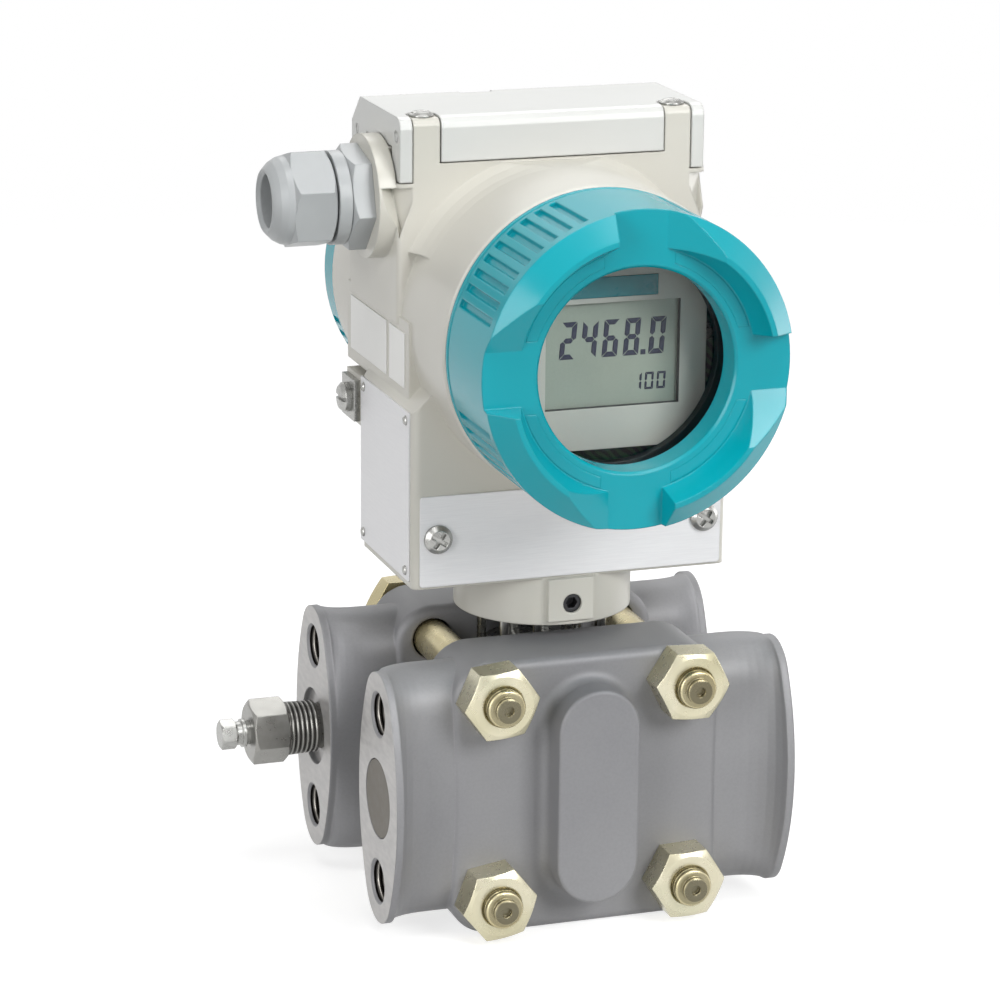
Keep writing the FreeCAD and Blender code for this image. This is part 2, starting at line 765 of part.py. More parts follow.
def cover_teeth(front):
    """Ring of teeth left standing between the slots."""
    ring_solid = tooth_ring(front)
    tools = [about_drum(slot_and_ramp(front), k * 360.0 / tooth_count) for k in range(tooth_count)]
    return cut(ring_solid, tools)


def grip_grooves(rear, front):
    """Grooves along the cover's side in four groups, one behind each tooth."""
    middle = (rib_count - 1) / 2
    half = rib_pitch * 0.27
    tools = []
    low, high = min(rear, front), max(rear, front)
    edge = cover_r + 0.5
    floor = cover_r - rib_depth
    a = math.radians(half)
    corners = [(-edge * math.sin(a) * 1.15, edge), (-floor * math.sin(a) * 0.6, floor),
               (floor * math.sin(a) * 0.6, floor), (edge * math.sin(a) * 1.15, edge)]
    groove = prism("y", [(x, drum_z + r) for x, r in corners], low, high)
    for group in range(tooth_count):
        for k in range(rib_count):
            angle = 360.0 / tooth_count * (group + 0.5) + (k - middle) * rib_pitch
            tools.append(about_drum(groove, angle))
    return tools


def letter_recesses(front):
    """Shallow arc recesses inside the teeth, plain inside."""
    band = ring("y", tooth_inner_r - 0.4, window_lip_r + 0.4, front - 1, front + letter_recess, (0, drum_z))
    gaps = []
    for k in range(tooth_count):
        bar = block(-slot_half - 2.0, slot_half + 2.0, front - 2, front + 2, drum_z, drum_z + cover_r)
        gaps.append(about_drum(bar, k * 360.0 / tooth_count))
    return cut(band, gaps)


def front_cover():
    """Screwed window cover with four wrench teeth and grip grooves."""
    front, rim = cover_front, cover_rim
    thread_end = rim + cover_thread_length
    seat = glass_front
    behind = seat + glass_t
    ring_seat = rim + 2.0
    step = behind + retainer_t + 1.0
    profile = [(window_r, front + 0.6), (window_r + 0.6, front), (cover_r, front), (cover_r, rim - 2.2),
               (cover_r - 0.5, rim - 2.0), (cover_r - 0.5, rim - 1.4), (cover_r, rim - 1.2), (cover_r, rim),
               (cover_thread_r, rim), (cover_thread_r, ring_seat), (cover_thread_r - o_ring_groove, ring_seat),
               (cover_thread_r - o_ring_groove, ring_seat + 2 * o_ring_r), (cover_thread_r, ring_seat + 2 * o_ring_r),
               (cover_thread_r, thread_end), (cover_skirt_r, thread_end), (cover_skirt_r, step + 1.5),
               (glass_r + 0.2, step), (glass_r + 0.2, seat), (window_r, seat)]
    body = turned("y", profile, (0, drum_z))
    body = fused([body, cover_teeth(front)])
    body = cut(body, [letter_recesses(front)])
    return cut(body, grip_grooves(rim - 3.4, front + 0.8))


def window_glass():
    return cylinder("y", glass_r, glass_front, glass_front + glass_t, (0, drum_z))


def glass_retainer():
    """Ring pressed in behind the glass."""
    start = glass_front + glass_t
    return ring("y", glass_r + 0.15, glass_r - 2.6, start, start + retainer_t, (0, drum_z))


def cover_o_ring(place):
    """O-ring in the groove behind a cover's rim."""
    middle = cover_thread_r - o_ring_groove + o_ring_r
    section = []
    for k in range(8):
        angle = math.radians(45 * k + 22.5)
        section.append((middle + o_ring_r * math.cos(angle), place + o_ring_r * math.sin(angle)))
    return turned("y", section, (0, drum_z))


def rear_cover():
    """Closed cover of the terminal chamber, with the same grip grooves."""
    rim, back = rear_rim, rear_rim + rear_cover_depth
    thread_end = rim - cover_thread_length
    ring_seat = rim - 2.0
    profile = [(0, back - 1.6), (20.0, back - 1.6), (22.0, back), (cover_r - 3.0, back), (cover_r, back - 2.4),
               (cover_r, rim), (cover_thread_r, rim), (cover_thread_r, ring_seat),
               (cover_thread_r - o_ring_groove, ring_seat), (cover_thread_r - o_ring_groove, ring_seat - 2 * o_ring_r),
               (cover_thread_r, ring_seat - 2 * o_ring_r), (cover_thread_r, thread_end),
               (cover_skirt_r, thread_end), (cover_skirt_r, back - 5.0), (0, back - 5.0)]
    body = turned("y", profile, (0, drum_z))
    bars = []
    for k in range(2):
        bar = block(-3.0, 3.0, back - 3.0, back - 0.4, drum_z - 21.0, drum_z + 21.0)
        bars.append(about_drum(bar, 90.0 * k))
    body = fused([body] + bars)
    return cut(body, grip_grooves(rim + 2.0, back - 2.8))


# ---------------------------------------------------------------- display and electronics
def chamfered_plate(half_width, half_height, corner, y0, y1):
    w, h, c = half_width, half_height, corner
    corners = [(-w + c, drum_z - h), (w - c, drum_z - h), (w, drum_z - h + c), (w, drum_z + h - c),
               (w - c, drum_z + h), (-w + c, drum_z + h), (-w, drum_z + h - c), (-w, drum_z - h + c)]
    return prism("y", corners, y0, y1)


def display_bezel():
    """Moulded frame of the display, open behind for the glass and its board."""
    front = display_front - bezel_wall
    back = front + bezel_depth
    frame = chamfered_plate(bezel_half_width, bezel_half_height, bezel_corner, front, back)
    wall = bezel_wall
    hollow = chamfered_plate(bezel_half_width - wall, bezel_half_height - wall, bezel_corner - 0.6,
                             front + wall, back + 1)
    view = block(-lcd_half_width, lcd_half_width, front - 1, back, drum_z - lcd_half_height,
                 drum_z + lcd_half_height)
    slot = block(-1.6, 1.6, front - 1, front + 0.8, -0.4, 0.4)
    slot.rotate(V(0, 0, 0), V(0, 1, 0), -45)
    slot.translate(V(bezel_half_width - 4.2, 0, drum_z - bezel_half_height + 4.4))
    low = drum_z + lcd_half_height + 1.2
    badge_seat = block(-plate_half_width, plate_half_width, front - 1, front + 0.4, low, low + plate_height)
    return cut(frame, [hollow, view, slot, badge_seat])


def display_plate():
    """Plain coloured strip above the display."""
    front = display_front - bezel_wall
    low = drum_z + lcd_half_height + 1.2
    return block(-plate_half_width + 0.05, plate_half_width - 0.05, front - 0.1, front + 0.4,
                 low + 0.05, low + plate_height - 0.05)


def lcd_panel():
    """Glass of the display with its edge in the bezel."""
    start = display_front
    return block(-lcd_half_width - 1.5, lcd_half_width + 1.5, start, start + 2.2,
                 drum_z - lcd_half_height - 1.5, drum_z + lcd_half_height + 1.5)


def module_start():
    return display_front - bezel_wall + bezel_depth


def standoff_places():
    return [(standoff_reach * s, drum_z + 2.6 * s) for s in (1, -1)]


def electronics_module():
    """Potted electronics cup behind the display, with two standoffs."""
    start = module_start()
    end = start + board_t
    cup = cylinder("y", module_r, end, end + module_depth, (0, drum_z))
    rear = wall_front
    stem = cylinder("y", 8.0, end + module_depth, rear, (0, drum_z))
    return fused([cup, stem])


def display_board():
    """Round circuit board that carries the display."""
    start = module_start()
    board = cylinder("y", board_r, start, start + board_t, (0, drum_z))
    holes = [cylinder("y", display_screw_r * 0.55, start - 1, start + 3, place) for place in standoff_places()]
    return cut(board, holes)


def display_screws():
    """Two pan-head screws that hold the display board."""
    start = module_start()
    screws = []
    for place in standoff_places():
        head = turned("y", [(0, start), (display_screw_r, start), (display_screw_r, start - 0.7),
                            (display_screw_r - 0.8, start - 1.5), (0, start - 1.7)], place)
        slot = block(place[0] - 2.5, place[0] + 2.5, start - 2, start - 1.0, place[1] - 0.3, place[1] + 0.3)
        shank = cylinder("y", display_screw_r * 0.55 - 0.02, start, start + board_t, place)
        screws.append(fused([head.cut(slot), shank]))
    return Part.makeCompound(screws)


def terminal_block():
    """Moulded terminal strip in the rear chamber."""
    start = wall_front + wall_t
    w, h = terminal_width / 2, terminal_height / 2
    body = block(-w, w, start, start + terminal_depth, drum_z - h, drum_z + h)
    step = block(-w - 1, w + 1, start + terminal_depth - 5.0, start + terminal_depth + 1, drum_z - h - 1, drum_z - 1)
    tools = [step]
    for x in terminal_places():
        tools.append(cylinder("y", terminal_screw_r + 0.4, start + 4, start + terminal_depth + 1, (x, drum_z + 3.2)))
        tools.append(cylinder("z", 1.8, drum_z - h - 1, drum_z - 1, (x, start + 4.0)))
    return cut(body, tools)


def terminal_places():
    pitch = terminal_width / terminal_count
    return [(k - (terminal_count - 1) / 2) * pitch for k in range(terminal_count)]


def terminal_screws():
    start = wall_front + wall_t
    screws = []
    for x in terminal_places():
        place = (x, drum_z + 3.2)
        head = cylinder("y", terminal_screw_r, start + 4.0, start + terminal_depth - 1.4, place)
        slot = block(x - 3, x + 3, start + terminal_depth - 2.4, start + terminal_depth, place[1] - 0.35,
                     place[1] + 0.35)
        screws.append(head.cut(slot))
    return Part.makeCompound(screws)


# ---------------------------------------------------------------- key cover and keys
def lid_section(inset):
    """Side outline of the key cover; inset draws its inside."""
    top = lid_under + lid_wall - inset
    front = box_front - 0.3 + inset
    back = box_back + 0.2 - inset
    low = lid_under - lid_tab_drop - 5.0 * (inset > 0)
    slope_z = lid_under - lid_slope_drop + lid_wall - inset * 0.6
    return [(front, low), (front, top - 2.6), (front + 0.3, top - 1.3), (front + 1.1, top - 0.4), (front + 2.6, top),
            (lid_top_back - inset * 0.4, top), (back, slope_z), (back, low)]


def key_cover():
    """Hinged lid over the keys: a thin tray with tabs at its corners and notches for the posts."""
    w = lid_half_width
    outer = prism("x", lid_section(0.0), -w, w)
    hollow = prism("x", lid_section(lid_wall), -w + lid_wall, w - lid_wall)
    body = outer.cut(hollow)
    low = lid_under - lid_tab_drop - 1.0
    skirt = lid_under - lid_front_skirt
    side = lid_under - lid_side_skirt
    tab_back = box_front + tab_length()
    rear_corner = box_back - lid_rear_corner
    front_x = post_x - post_half
    tools = [block(-front_x, front_x, box_front - 2, box_front + 4, low, skirt)]
    tools.append(block(-w - 1, w + 1, tab_back, rear_corner, low, side))
    tools.append(block(-w - 1, w + 1, rear_corner, box_back + 2, low, lid_under - lid_rear_drop))
    tab_inner = w - lid_tab_width
    for s in (1, -1):
        tools.append(post_form(s, lid_clearance, low, lid_under + 4))
        x0, x1 = sorted((s * post_x, s * tab_inner))
        tools.append(block(x0, x1, box_front - 2, box_front + post_back, low, lid_under + 4))
        x0, x1 = sorted((s * (post_x - post_half - lid_clearance), s * tab_inner))
        tools.append(block(x0, x1, box_front - 2, box_front, low, lid_under + 4))
        x0, x1 = sorted((s * (lid_inner() - knuckle_width - lid_clearance), s * (w - lid_wall)))
        tools.append(block(x0, x1, hinge_y, box_back + 2, low, hinge_z + 0.6))
    tools.append(block(-rear_band, rear_band, hinge_y, box_back + 2, low, hinge_z - rear_wall_drop))
    for s in (1, -1):
        stud = ring("x", 1.5, 0.8, s * (w - 0.6), s * (w + 1), (box_front + 2.8, lid_under - 3.2))
        tools.append(stud)
    tools.append(block(-13.0, -5.0, box_back - 8.0, lid_top_back + 2, lid_under + lid_wall - 0.4, lid_under + 4))
    body = cut(body, tools)
    tabs = []
    for s in (1, -1):
        x0, x1 = sorted((s * tab_inner, s * (w - lid_wall)))
        tab = block(x0, x1, box_front - 0.3, tab_back, lid_under - lid_tab_drop, lid_under)
        tabs.append(tab.common(outer))
    pin = cylinder("x", hinge_pin_r + running_clearance, -w - 1, w + 1, (hinge_y, hinge_z))
    return cut(fused([body] + tabs), [pin])


def hinge_pins():
    """Two short pins through the lid's side walls into the housing's eyes."""
    inner = lid_inner() - knuckle_width + 1.0
    return Part.makeCompound([cylinder("x", hinge_pin_r, s * inner, s * (lid_half_width - 0.1), (hinge_y, hinge_z))
                              for s in (-1, 1)])


def key_cover_screws():
    """Two round-headed screws in the posts."""
    screws = []
    top = lid_under + lid_wall - 0.4
    for s in (-1, 1):
        place = (s * post_x, box_front + post_back)
        head = turned("z", [(0, top), (2.9, top), (2.9, top + 0.5), (2.0, top + 1.1), (0, top + 1.3)], place)
        slot = block(place[0] - 3, place[0] + 3, place[1] - 0.35, place[1] + 0.35, top + 0.6, top + 2)
        shank = cylinder("z", 1.55, lid_under - 8.0, top, place)
        screws.append(fused([head.cut(slot), shank]))
    return Part.makeCompound(screws)


def key(index):
    """Push key with a stem that is guided in the deck."""
    x = (index - 1) * key_pitch
    top = deck_z + key_rise + key_boot_height
    low = deck_z + key_boot_height
    guide = key_r - 1.6 - running_clearance
    return turned("z", [(0, deck_z - 2.8), (guide, deck_z - 2.8), (guide, low), (key_r, low), (key_r, top - 0.6),
                        (key_r - 0.6, top), (0, top - 0.35)], (x, entry_y))


def key_boot(index):
    """Elastic boot under a key's rim that returns it."""
    x = (index - 1) * key_pitch
    guide = key_r - 1.6
    return turned("z", [(guide + 0.3, deck_z), (key_r, deck_z), (key_r - 0.5, deck_z + 0.8),
                        (key_r - 0.3, deck_z + key_boot_height), (guide + 0.5, deck_z + key_boot_height),
                        (guide + 0.3, deck_z + 0.8)], (x, entry_y))


# ---------------------------------------------------------------- cable gland and blind plug
def gland_places():
    """Places along X: entry face, end of the hexagon, end of the collar, start and end of the nut's hexagon."""
    face = entry_face(-1)
    hex_end = face - gland_hex
    collar_end = hex_end - gland_collar
    nut_start = collar_end - gland_nut_gap
    return face, hex_end, collar_end, nut_start, nut_start - gland_nut_hex


def gland_body():
    """Lower half of the cable gland: thread, hexagon, collar and the sleeve that the nut squeezes."""
    face, hex_end, collar_end, nut_start, nut_end = gland_places()
    place = (entry_y, entry_z)
    hexa = chamfered_hexagon("x", gland_flats, face, hex_end, place, 13.0, False, True)
    thread = cylinder("x", gland_thread_r, face, face + entry_bore_depth - 2.0, place)
    collar = cylinder("x", gland_collar_r, hex_end, collar_end, place)
    sleeve = cylinder("x", gland_spigot_r, collar_end, nut_end + 1.6, place)
    bore = cylinder("x", gland_bore_r, 0, -200, place)
    seat = cylinder("x", gland_bore_r + seal_t + 0.05, collar_end, -200, place)
    return cut(fused([hexa, thread, collar, sleeve]), [bore, seat])


def gland_seal():
    """Rubber seal in the gland's sleeve."""
    face, hex_end, collar_end, nut_start, nut_end = gland_places()
    return ring("x", gland_bore_r + seal_t, gland_seal_bore_r, collar_end, nut_end + 1.0, (entry_y, entry_z))


def gland_nut():
    """Dome nut: a hexagon that runs out into a round nose with the cable mouth."""
    face, hex_end, collar_end, start, end = gland_places()
    place = (entry_y, entry_z)
    nose = end - gland_nut_dome
    hexa = chamfered_hexagon("x", gland_nut_flats, start, end, place, 43.0, True, True)
    r = gland_nut_flats / 2
    dome = turned("x", [(0, end + 1), (r, end + 1), (r, end), (r - 0.3, end - 1.2),
                        (r - 1.2, end - 2.8), (r - 2.2, nose + 0.7), (r - 3.0, nose), (0, nose)], place)
    inside = cylinder("x", gland_spigot_r + running_clearance, start + 1, end + 0.6, place)
    mouth = turned("x", [(0, start), (gland_bore_r, start), (gland_bore_r, nose + 0.8),
                         (gland_bore_r + 0.8, nose - 0.01), (0, nose - 0.01)], place)
    return cut(fused([hexa, dome]), [inside, mouth])


def blind_plug():
    """Flush screwed plug in the right cable entry, with a hexagon socket."""
    face = entry_face(1)
    place = (entry_y, entry_z)
    thread = cylinder("x", gland_thread_r, face - 0.3, face - entry_bore_depth + 2.0, place)
    socket = hexagon("x", plug_socket, face, face - 5.0, place)
    return thread.cut(socket)


# ---------------------------------------------------------------- plates and small parts
def label_screw_places():
    z = neck_z + (label_low + label_high) / 2
    x = label_half_width - label_screw_inset
    return [(-x, z + 0.6), (x, z + 0.6)]


def label_plate():
    """Front label plate, left bare."""
    low, high = neck_z + label_low, neck_z + label_high
    face = -block_half_depth
    plate = block(-label_half_width, label_half_width, face - plate_t, face, low, high)
    plate = plate.makeFillet(0.8, edges_along(plate, "y", face - plate_t, face))
    return cut(plate, [cylinder("y", 2.1, face - 2, face + 1, place) for place in label_screw_places()])


def label_screws():
    """Cross-recessed screws of the front label plate."""
    face = -block_half_depth - plate_t
    screws = []
    for x, z in label_screw_places():
        head = turned("y", [(0, face), (label_screw_r, face), (label_screw_r, face - 0.7),
                            (label_screw_r - 1.0, face - 1.7), (0, face - 2.2)], (x, z))
        cross = []
        for k in (0, 1):
            bar = block(-2.1, 2.1, face - 3, face - 0.9, -0.5, 0.5)
            bar.rotate(V(0, 0, 0), V(0, 1, 0), 35 + 90 * k)
            bar.translate(V(x, 0, z))
            cross.append(bar)
        shank = cylinder("y", 1.95, face, -block_half_depth + 7, (x, z))
        screws.append(fused([cut(head, cross), shank]))
    return Part.makeCompound(screws)


def name_plate_corners():
    low, high = neck_z + name_low, neck_z + name_high
    return low, high, -block_half_depth + 2.2, block_half_depth - 0.4


def name_plate():
    """Name plate on the block's left side, left bare."""
    low, high, front, back = name_plate_corners()
    x = -block_half_width
    plate = block(x - plate_t, x, front, back, low, min(high, block_z + block_height - block_slope))
    return plate


def name_plate_rivets():
    low, high, front, back = name_plate_corners()
    high = min(high, block_z + block_height - block_slope)
    x = -block_half_width - plate_t
    rivets = []
    for y in (front + 2.2, back - 2.2):
        for z in (low + 2.2, high - 2.2):
            rivets.append(turned("x", [(0, x), (rivet_r, x), (rivet_r * 0.7, x - 0.5), (0, x - 0.7)], (y, z)))
    return Part.makeCompound(rivets)


def side_labels():
    """Two bare labels on the drum's left pad."""
    low, high = neck_z + side_label_low, neck_z + side_label_high
    x = -side_pad_x
    rear = side_label_split + side_label_gap
    return Part.makeCompound([block(x - 0.2, x, rear, side_label_back, low, high),
                              block(x - 0.2, x, side_label_front, side_label_split, low, high)])


def earth_terminal():
    """Clamp plate of the earth terminal on its lug."""
    x = -block_half_width
    y0, y1 = block_half_depth + 1.6, block_half_depth + 11.6
    z0, z1 = neck_z + earth_low + 1.0, neck_z + earth_high - 1.0
    plate = block(x - 1.6, x, y0, y1, z0, z1)
    return plate.cut(cylinder("x", 2.1, x - 3, x + 1, ((y0 + y1) / 2, (z0 + z1) / 2)))


def earth_screw():
    x = -block_half_width - 1.6
    place = (block_half_depth + 6.6, neck_z + (earth_low + earth_high) / 2)
    head = turned("x", [(0, x), (3.6, x), (3.6, x - 1.4), (2.8, x - 2.2), (0, x - 2.4)], place)
    slot = block(x - 3, x - 1.4, place[0] - 4, place[0] + 4, place[1] - 0.5, place[1] + 0.5)
    shank = cylinder("x", 2.0, x, x + 1.6, place)
    return fused([head.cut(slot), shank])


# ---------------------------------------------------------------- vent valve
def vent_valve_body():
    """Vent valve screwed into the rear flange's left port."""
    face = -flange_half
    place = (port_y, port_z)
    hex_start = face - vent_thread
    hex_end = hex_start - vent_hex
    hexa = chamfered_hexagon("x", vent_flats, hex_start, hex_end, place, 15.0, True, True)
    thread = turned("x", [(0, hex_start), (vent_thread_r, hex_start), (vent_thread_r - 0.3, face),
                          (port_bore_r - thread_clearance, face),
                          (port_bore_r - thread_clearance, face + port_bore_depth - 5), (0, face + port_bore_depth - 5)],
                    place)
    bore = cylinder("x", vent_stem_r + running_clearance, hex_start + 6, hex_end - 1, place)
    duct = cylinder("x", 1.6, hex_end, face + port_bore_depth, place)
    vent = cylinder("z", 1.2, port_z - vent_flats, port_z, ((hex_start + hex_end) / 2, port_y))
    return cut(fused([hexa, thread]), [bore, duct, vent])


def vent_valve_stem():
    """Vent screw with a small hexagon head."""
    place = (port_y, port_z)
    hex_start = -flange_half - vent_thread
    hex_end = hex_start - vent_hex
    neck_end = hex_end - vent_stem_length
    tip = hex_start + 2.0
    stem = turned("x", [(0, tip), (1.5, tip), (vent_stem_r, tip - 2.0), (vent_stem_r, neck_end), (0, neck_end)], place)
    collar = ring("x", vent_stem_r + 0.6, 1.0, hex_end - 1.0, hex_end - 2.0, place)
    head = chamfered_hexagon("x", vent_head_flats, neck_end, neck_end - vent_head, place, 12.0, True, True)
    return fused([stem, collar, head])


# ---------------------------------------------------------------- write every piece
def pieces():
    front = flange()
    made = {
        "flange_front": front,
        "flange_rear": half_turn(front),
        "measuring_cell": measuring_cell(),
        "cell_gasket_front": cell_gasket(-1),
        "cell_gasket_rear": cell_gasket(1),
        "diaphragm_front": diaphragm(-1),
        "diaphragm_rear": diaphragm(1),
        "cell_leads": cell_leads(),
        "cell_spigot": cell_spigot(),
        "flange_bolts": flange_bolts(),
        "flange_nuts": flange_nuts(),
        "blanking_plug": blanking_plug(),
        "vent_valve_body": vent_valve_body(),
        "vent_valve_stem": vent_valve_stem(),
        "housing": housing(),
        "set_screw": set_screw(),
        "front_cover": front_cover(),
        "front_cover_o_ring": cover_o_ring(cover_rim + 2.0 + o_ring_r),
        "window_glass": window_glass(),
        "glass_retainer": glass_retainer(),
        "rear_cover": rear_cover(),
        "rear_cover_o_ring": cover_o_ring(rear_rim - 2.0 - o_ring_r),
        "display_bezel": display_bezel(),
        "display_plate": display_plate(),
        "lcd_panel": lcd_panel(),
        "display_board": display_board(),
        "display_screws": display_screws(),
        "electronics_module": electronics_module(),
        "terminal_block": terminal_block(),
        "terminal_screws": terminal_screws(),
        "key_cover": key_cover(),
        "hinge_pins": hinge_pins(),
        "key_cover_screws": key_cover_screws(),
        "gland_body": gland_body(),
        "gland_seal": gland_seal(),
        "gland_nut": gland_nut(),
        "blind_plug": blind_plug(),
        "label_plate": label_plate(),
        "label_screws": label_screws(),
        "name_plate": name_plate(),
        "name_plate_rivets": name_plate_rivets(),
        "side_labels": side_labels(),
        "earth_terminal": earth_terminal(),
        "earth_screw": earth_screw(),
    }
    for index in range(3):
        made["key_%d" % (index + 1)] = key(index)
        made["key_boot_%d" % (index + 1)] = key_boot(index)
    return made


os.makedirs("parts", exist_ok=True)
for name, shape in pieces().items():
    shape.translate(V(0, foot_y, 0))
    shape.exportStep("parts/%s.step" % name)
    solids = shape.Solids
    print(name, len(solids), "valid" if shape.isValid() else "INVALID", round(sum(s.Volume for s in solids), 1))
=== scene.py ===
import json
import math
import bpy
import bmesh
from mathutils import Matrix, Vector

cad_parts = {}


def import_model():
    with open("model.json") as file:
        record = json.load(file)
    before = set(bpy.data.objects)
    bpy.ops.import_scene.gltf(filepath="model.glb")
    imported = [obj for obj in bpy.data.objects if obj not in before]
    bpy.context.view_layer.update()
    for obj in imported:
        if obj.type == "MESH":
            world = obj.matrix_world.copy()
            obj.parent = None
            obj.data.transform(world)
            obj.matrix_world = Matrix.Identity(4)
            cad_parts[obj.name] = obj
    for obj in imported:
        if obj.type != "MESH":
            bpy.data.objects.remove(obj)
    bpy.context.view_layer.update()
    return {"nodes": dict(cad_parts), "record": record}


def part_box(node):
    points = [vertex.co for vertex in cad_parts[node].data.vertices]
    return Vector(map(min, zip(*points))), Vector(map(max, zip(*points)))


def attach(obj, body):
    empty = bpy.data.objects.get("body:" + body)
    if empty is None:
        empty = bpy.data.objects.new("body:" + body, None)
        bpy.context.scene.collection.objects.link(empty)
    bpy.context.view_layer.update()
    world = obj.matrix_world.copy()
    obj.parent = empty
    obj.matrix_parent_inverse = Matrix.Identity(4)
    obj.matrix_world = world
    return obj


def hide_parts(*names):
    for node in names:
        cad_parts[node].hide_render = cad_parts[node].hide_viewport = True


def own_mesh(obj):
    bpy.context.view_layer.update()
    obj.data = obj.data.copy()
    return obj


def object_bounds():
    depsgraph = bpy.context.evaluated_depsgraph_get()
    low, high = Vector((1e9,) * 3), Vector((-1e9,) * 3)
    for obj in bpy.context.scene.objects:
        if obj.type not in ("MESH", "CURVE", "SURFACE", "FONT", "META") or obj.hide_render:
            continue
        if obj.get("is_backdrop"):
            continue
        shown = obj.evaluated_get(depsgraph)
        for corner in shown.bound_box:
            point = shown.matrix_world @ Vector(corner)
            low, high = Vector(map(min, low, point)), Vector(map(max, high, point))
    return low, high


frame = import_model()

NODES = frame["nodes"]

FILL = 0.19                  # strength of the soft light from all round
FLOOR_GLOW = 0.72            # how bright the floor itself looks to background rays
PORT_OFFSET = 0.027          # process port to the cell's middle
HOLE_PITCH = 0.0413          # mounting holes of one flange end
HOLE_WALL_R = 0.0051         # a little wider than a mounting hole
PORT_WALL_R = 0.00575        # a little wider than a process port
END_BAND = 0.0020            # the end planes lie this near to a flange's reach
ARM_START = 0.030            # the holes of the ends begin beyond this x
CHAMBER_R = 0.0312           # front cover's inside
DRUM_BORE_R = 0.0323         # housing drum's inside
TOOTH_HEIGHT = 0.0062        # teeth above the ring's face


def centre(node):
    low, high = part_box(node)
    return (low + high) / 2


CELL = centre("measuring_cell")
DRUM = centre("window_glass")
NUT_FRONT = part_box("flange_nuts")[0].y
VENT_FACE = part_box("flange_rear")[0].x


# ---------------------------------------------------------------- node helpers
def srgb(r, g, b):
    """Colour written as 0-255 display values, turned into linear light."""
    def one(v):
        v /= 255.0
        return v / 12.92 if v <= 0.04045 else ((v + 0.055) / 1.055) ** 2.4
    return (one(r), one(g), one(b), 1.0)


class Mat:
    """Small wrapper that builds one procedural material."""

    def __init__(self, name):
        self.m = bpy.data.materials.new(name)
        self.m.use_nodes = True
        self.t = self.m.node_tree
        self.bsdf = self.t.nodes["Principled BSDF"]
        coords = self.t.nodes.new("ShaderNodeTexCoord")
        self.object_coords = coords.outputs["Object"]

    def node(self, kind, **settings):
        n = self.t.nodes.new(kind)
        for key, value in settings.items():
            setattr(n, key, value)
        return n

    def link(self, a, b):
        self.t.links.new(a, b)

    def scaled(self, sx, sy, sz):
        """Object coordinates stretched along the axes."""
        m = self.node("ShaderNodeMapping")
        m.inputs["Scale"].default_value = (sx, sy, sz)
        self.link(self.object_coords, m.inputs["Vector"])
        return m.outputs["Vector"]

    def noise(self, scale, detail=4.0, rough=0.55, vector=None):
        n = self.node("ShaderNodeTexNoise")
        n.inputs["Scale"].default_value = scale
        n.inputs["Detail"].default_value = detail
        n.inputs["Roughness"].default_value = rough
        self.link(vector or self.object_coords, n.inputs["Vector"])
        return n.outputs["Fac"]

    def ramp(self, fac, stops):
        r = self.node("ShaderNodeValToRGB")
        while len(r.color_ramp.elements) < len(stops):
            r.color_ramp.elements.new(0.5)
        for e, (pos, col) in zip(r.color_ramp.elements, stops):
            e.position = pos
            e.color = col
        self.link(fac, r.inputs["Fac"])
        return r.outputs["Color"]

    def span(self, fac, low, high, start=0.0, end=1.0):
        r = self.node("ShaderNodeMapRange")
        r.inputs["From Min"].default_value = start
        r.inputs["From Max"].default_value = end
        r.inputs["To Min"].default_value = low
        r.inputs["To Max"].default_value = high
        self.link(fac, r.inputs["Value"])
        return r.outputs["Result"]

    def mix(self, fac, a, b):
        n = self.node("ShaderNodeMix", data_type="RGBA")
        if isinstance(fac, float):
            n.inputs[0].default_value = fac
        else:
            self.link(fac, n.inputs[0])
        for value, slot in ((a, 6), (b, 7)):
            if isinstance(value, tuple):
                n.inputs[slot].default_value = value
            else:
                self.link(value, n.inputs[slot])
        return n.outputs[2]

    def math(self, op, a, b=0.0):
        n = self.node("ShaderNodeMath", operation=op)
        for value, slot in ((a, 0), (b, 1)):
            if isinstance(value, (int, float)):
                n.inputs[slot].default_value = value
            else:
                self.link(value, n.inputs[slot])
        return n.outputs[0]

    def wear(self, radius=0.0009):
        """How strongly the surface turns close by: high on edges."""
        bevel = self.node("ShaderNodeBevel", samples=6)
        bevel.inputs["Radius"].default_value = radius
        geo = self.node("ShaderNodeNewGeometry")
        dot = self.node("ShaderNodeVectorMath", operation="DOT_PRODUCT")
        self.link(bevel.outputs["Normal"], dot.inputs[0])
        self.link(geo.outputs["Normal"], dot.inputs[1])
        return self.span(dot.outputs["Value"], 1.0, 0.0, 0.82, 0.995)

    def bump(self, parts, edge=0.0):
        """Adds (height, strength, distance) bumps on top of rounded edges."""
        last = None
        if edge:
            bevel = self.node("ShaderNodeBevel", samples=6)
            bevel.inputs["Radius"].default_value = edge
            last = bevel.outputs["Normal"]
        for height, strength, distance in parts:
            b = self.node("ShaderNodeBump")
            b.inputs["Strength"].default_value = strength
            b.inputs["Distance"].default_value = distance
            self.link(height, b.inputs["Height"])
            if last is not None:
                self.link(last, b.inputs["Normal"])
            last = b.outputs["Normal"]
        self.link(last, self.bsdf.inputs["Normal"])

    def put(self, socket, value):
        target = self.bsdf.inputs[socket]
        if isinstance(value, (int, float, tuple)):
            target.default_value = value
        else:
            self.link(value, target)
        return self


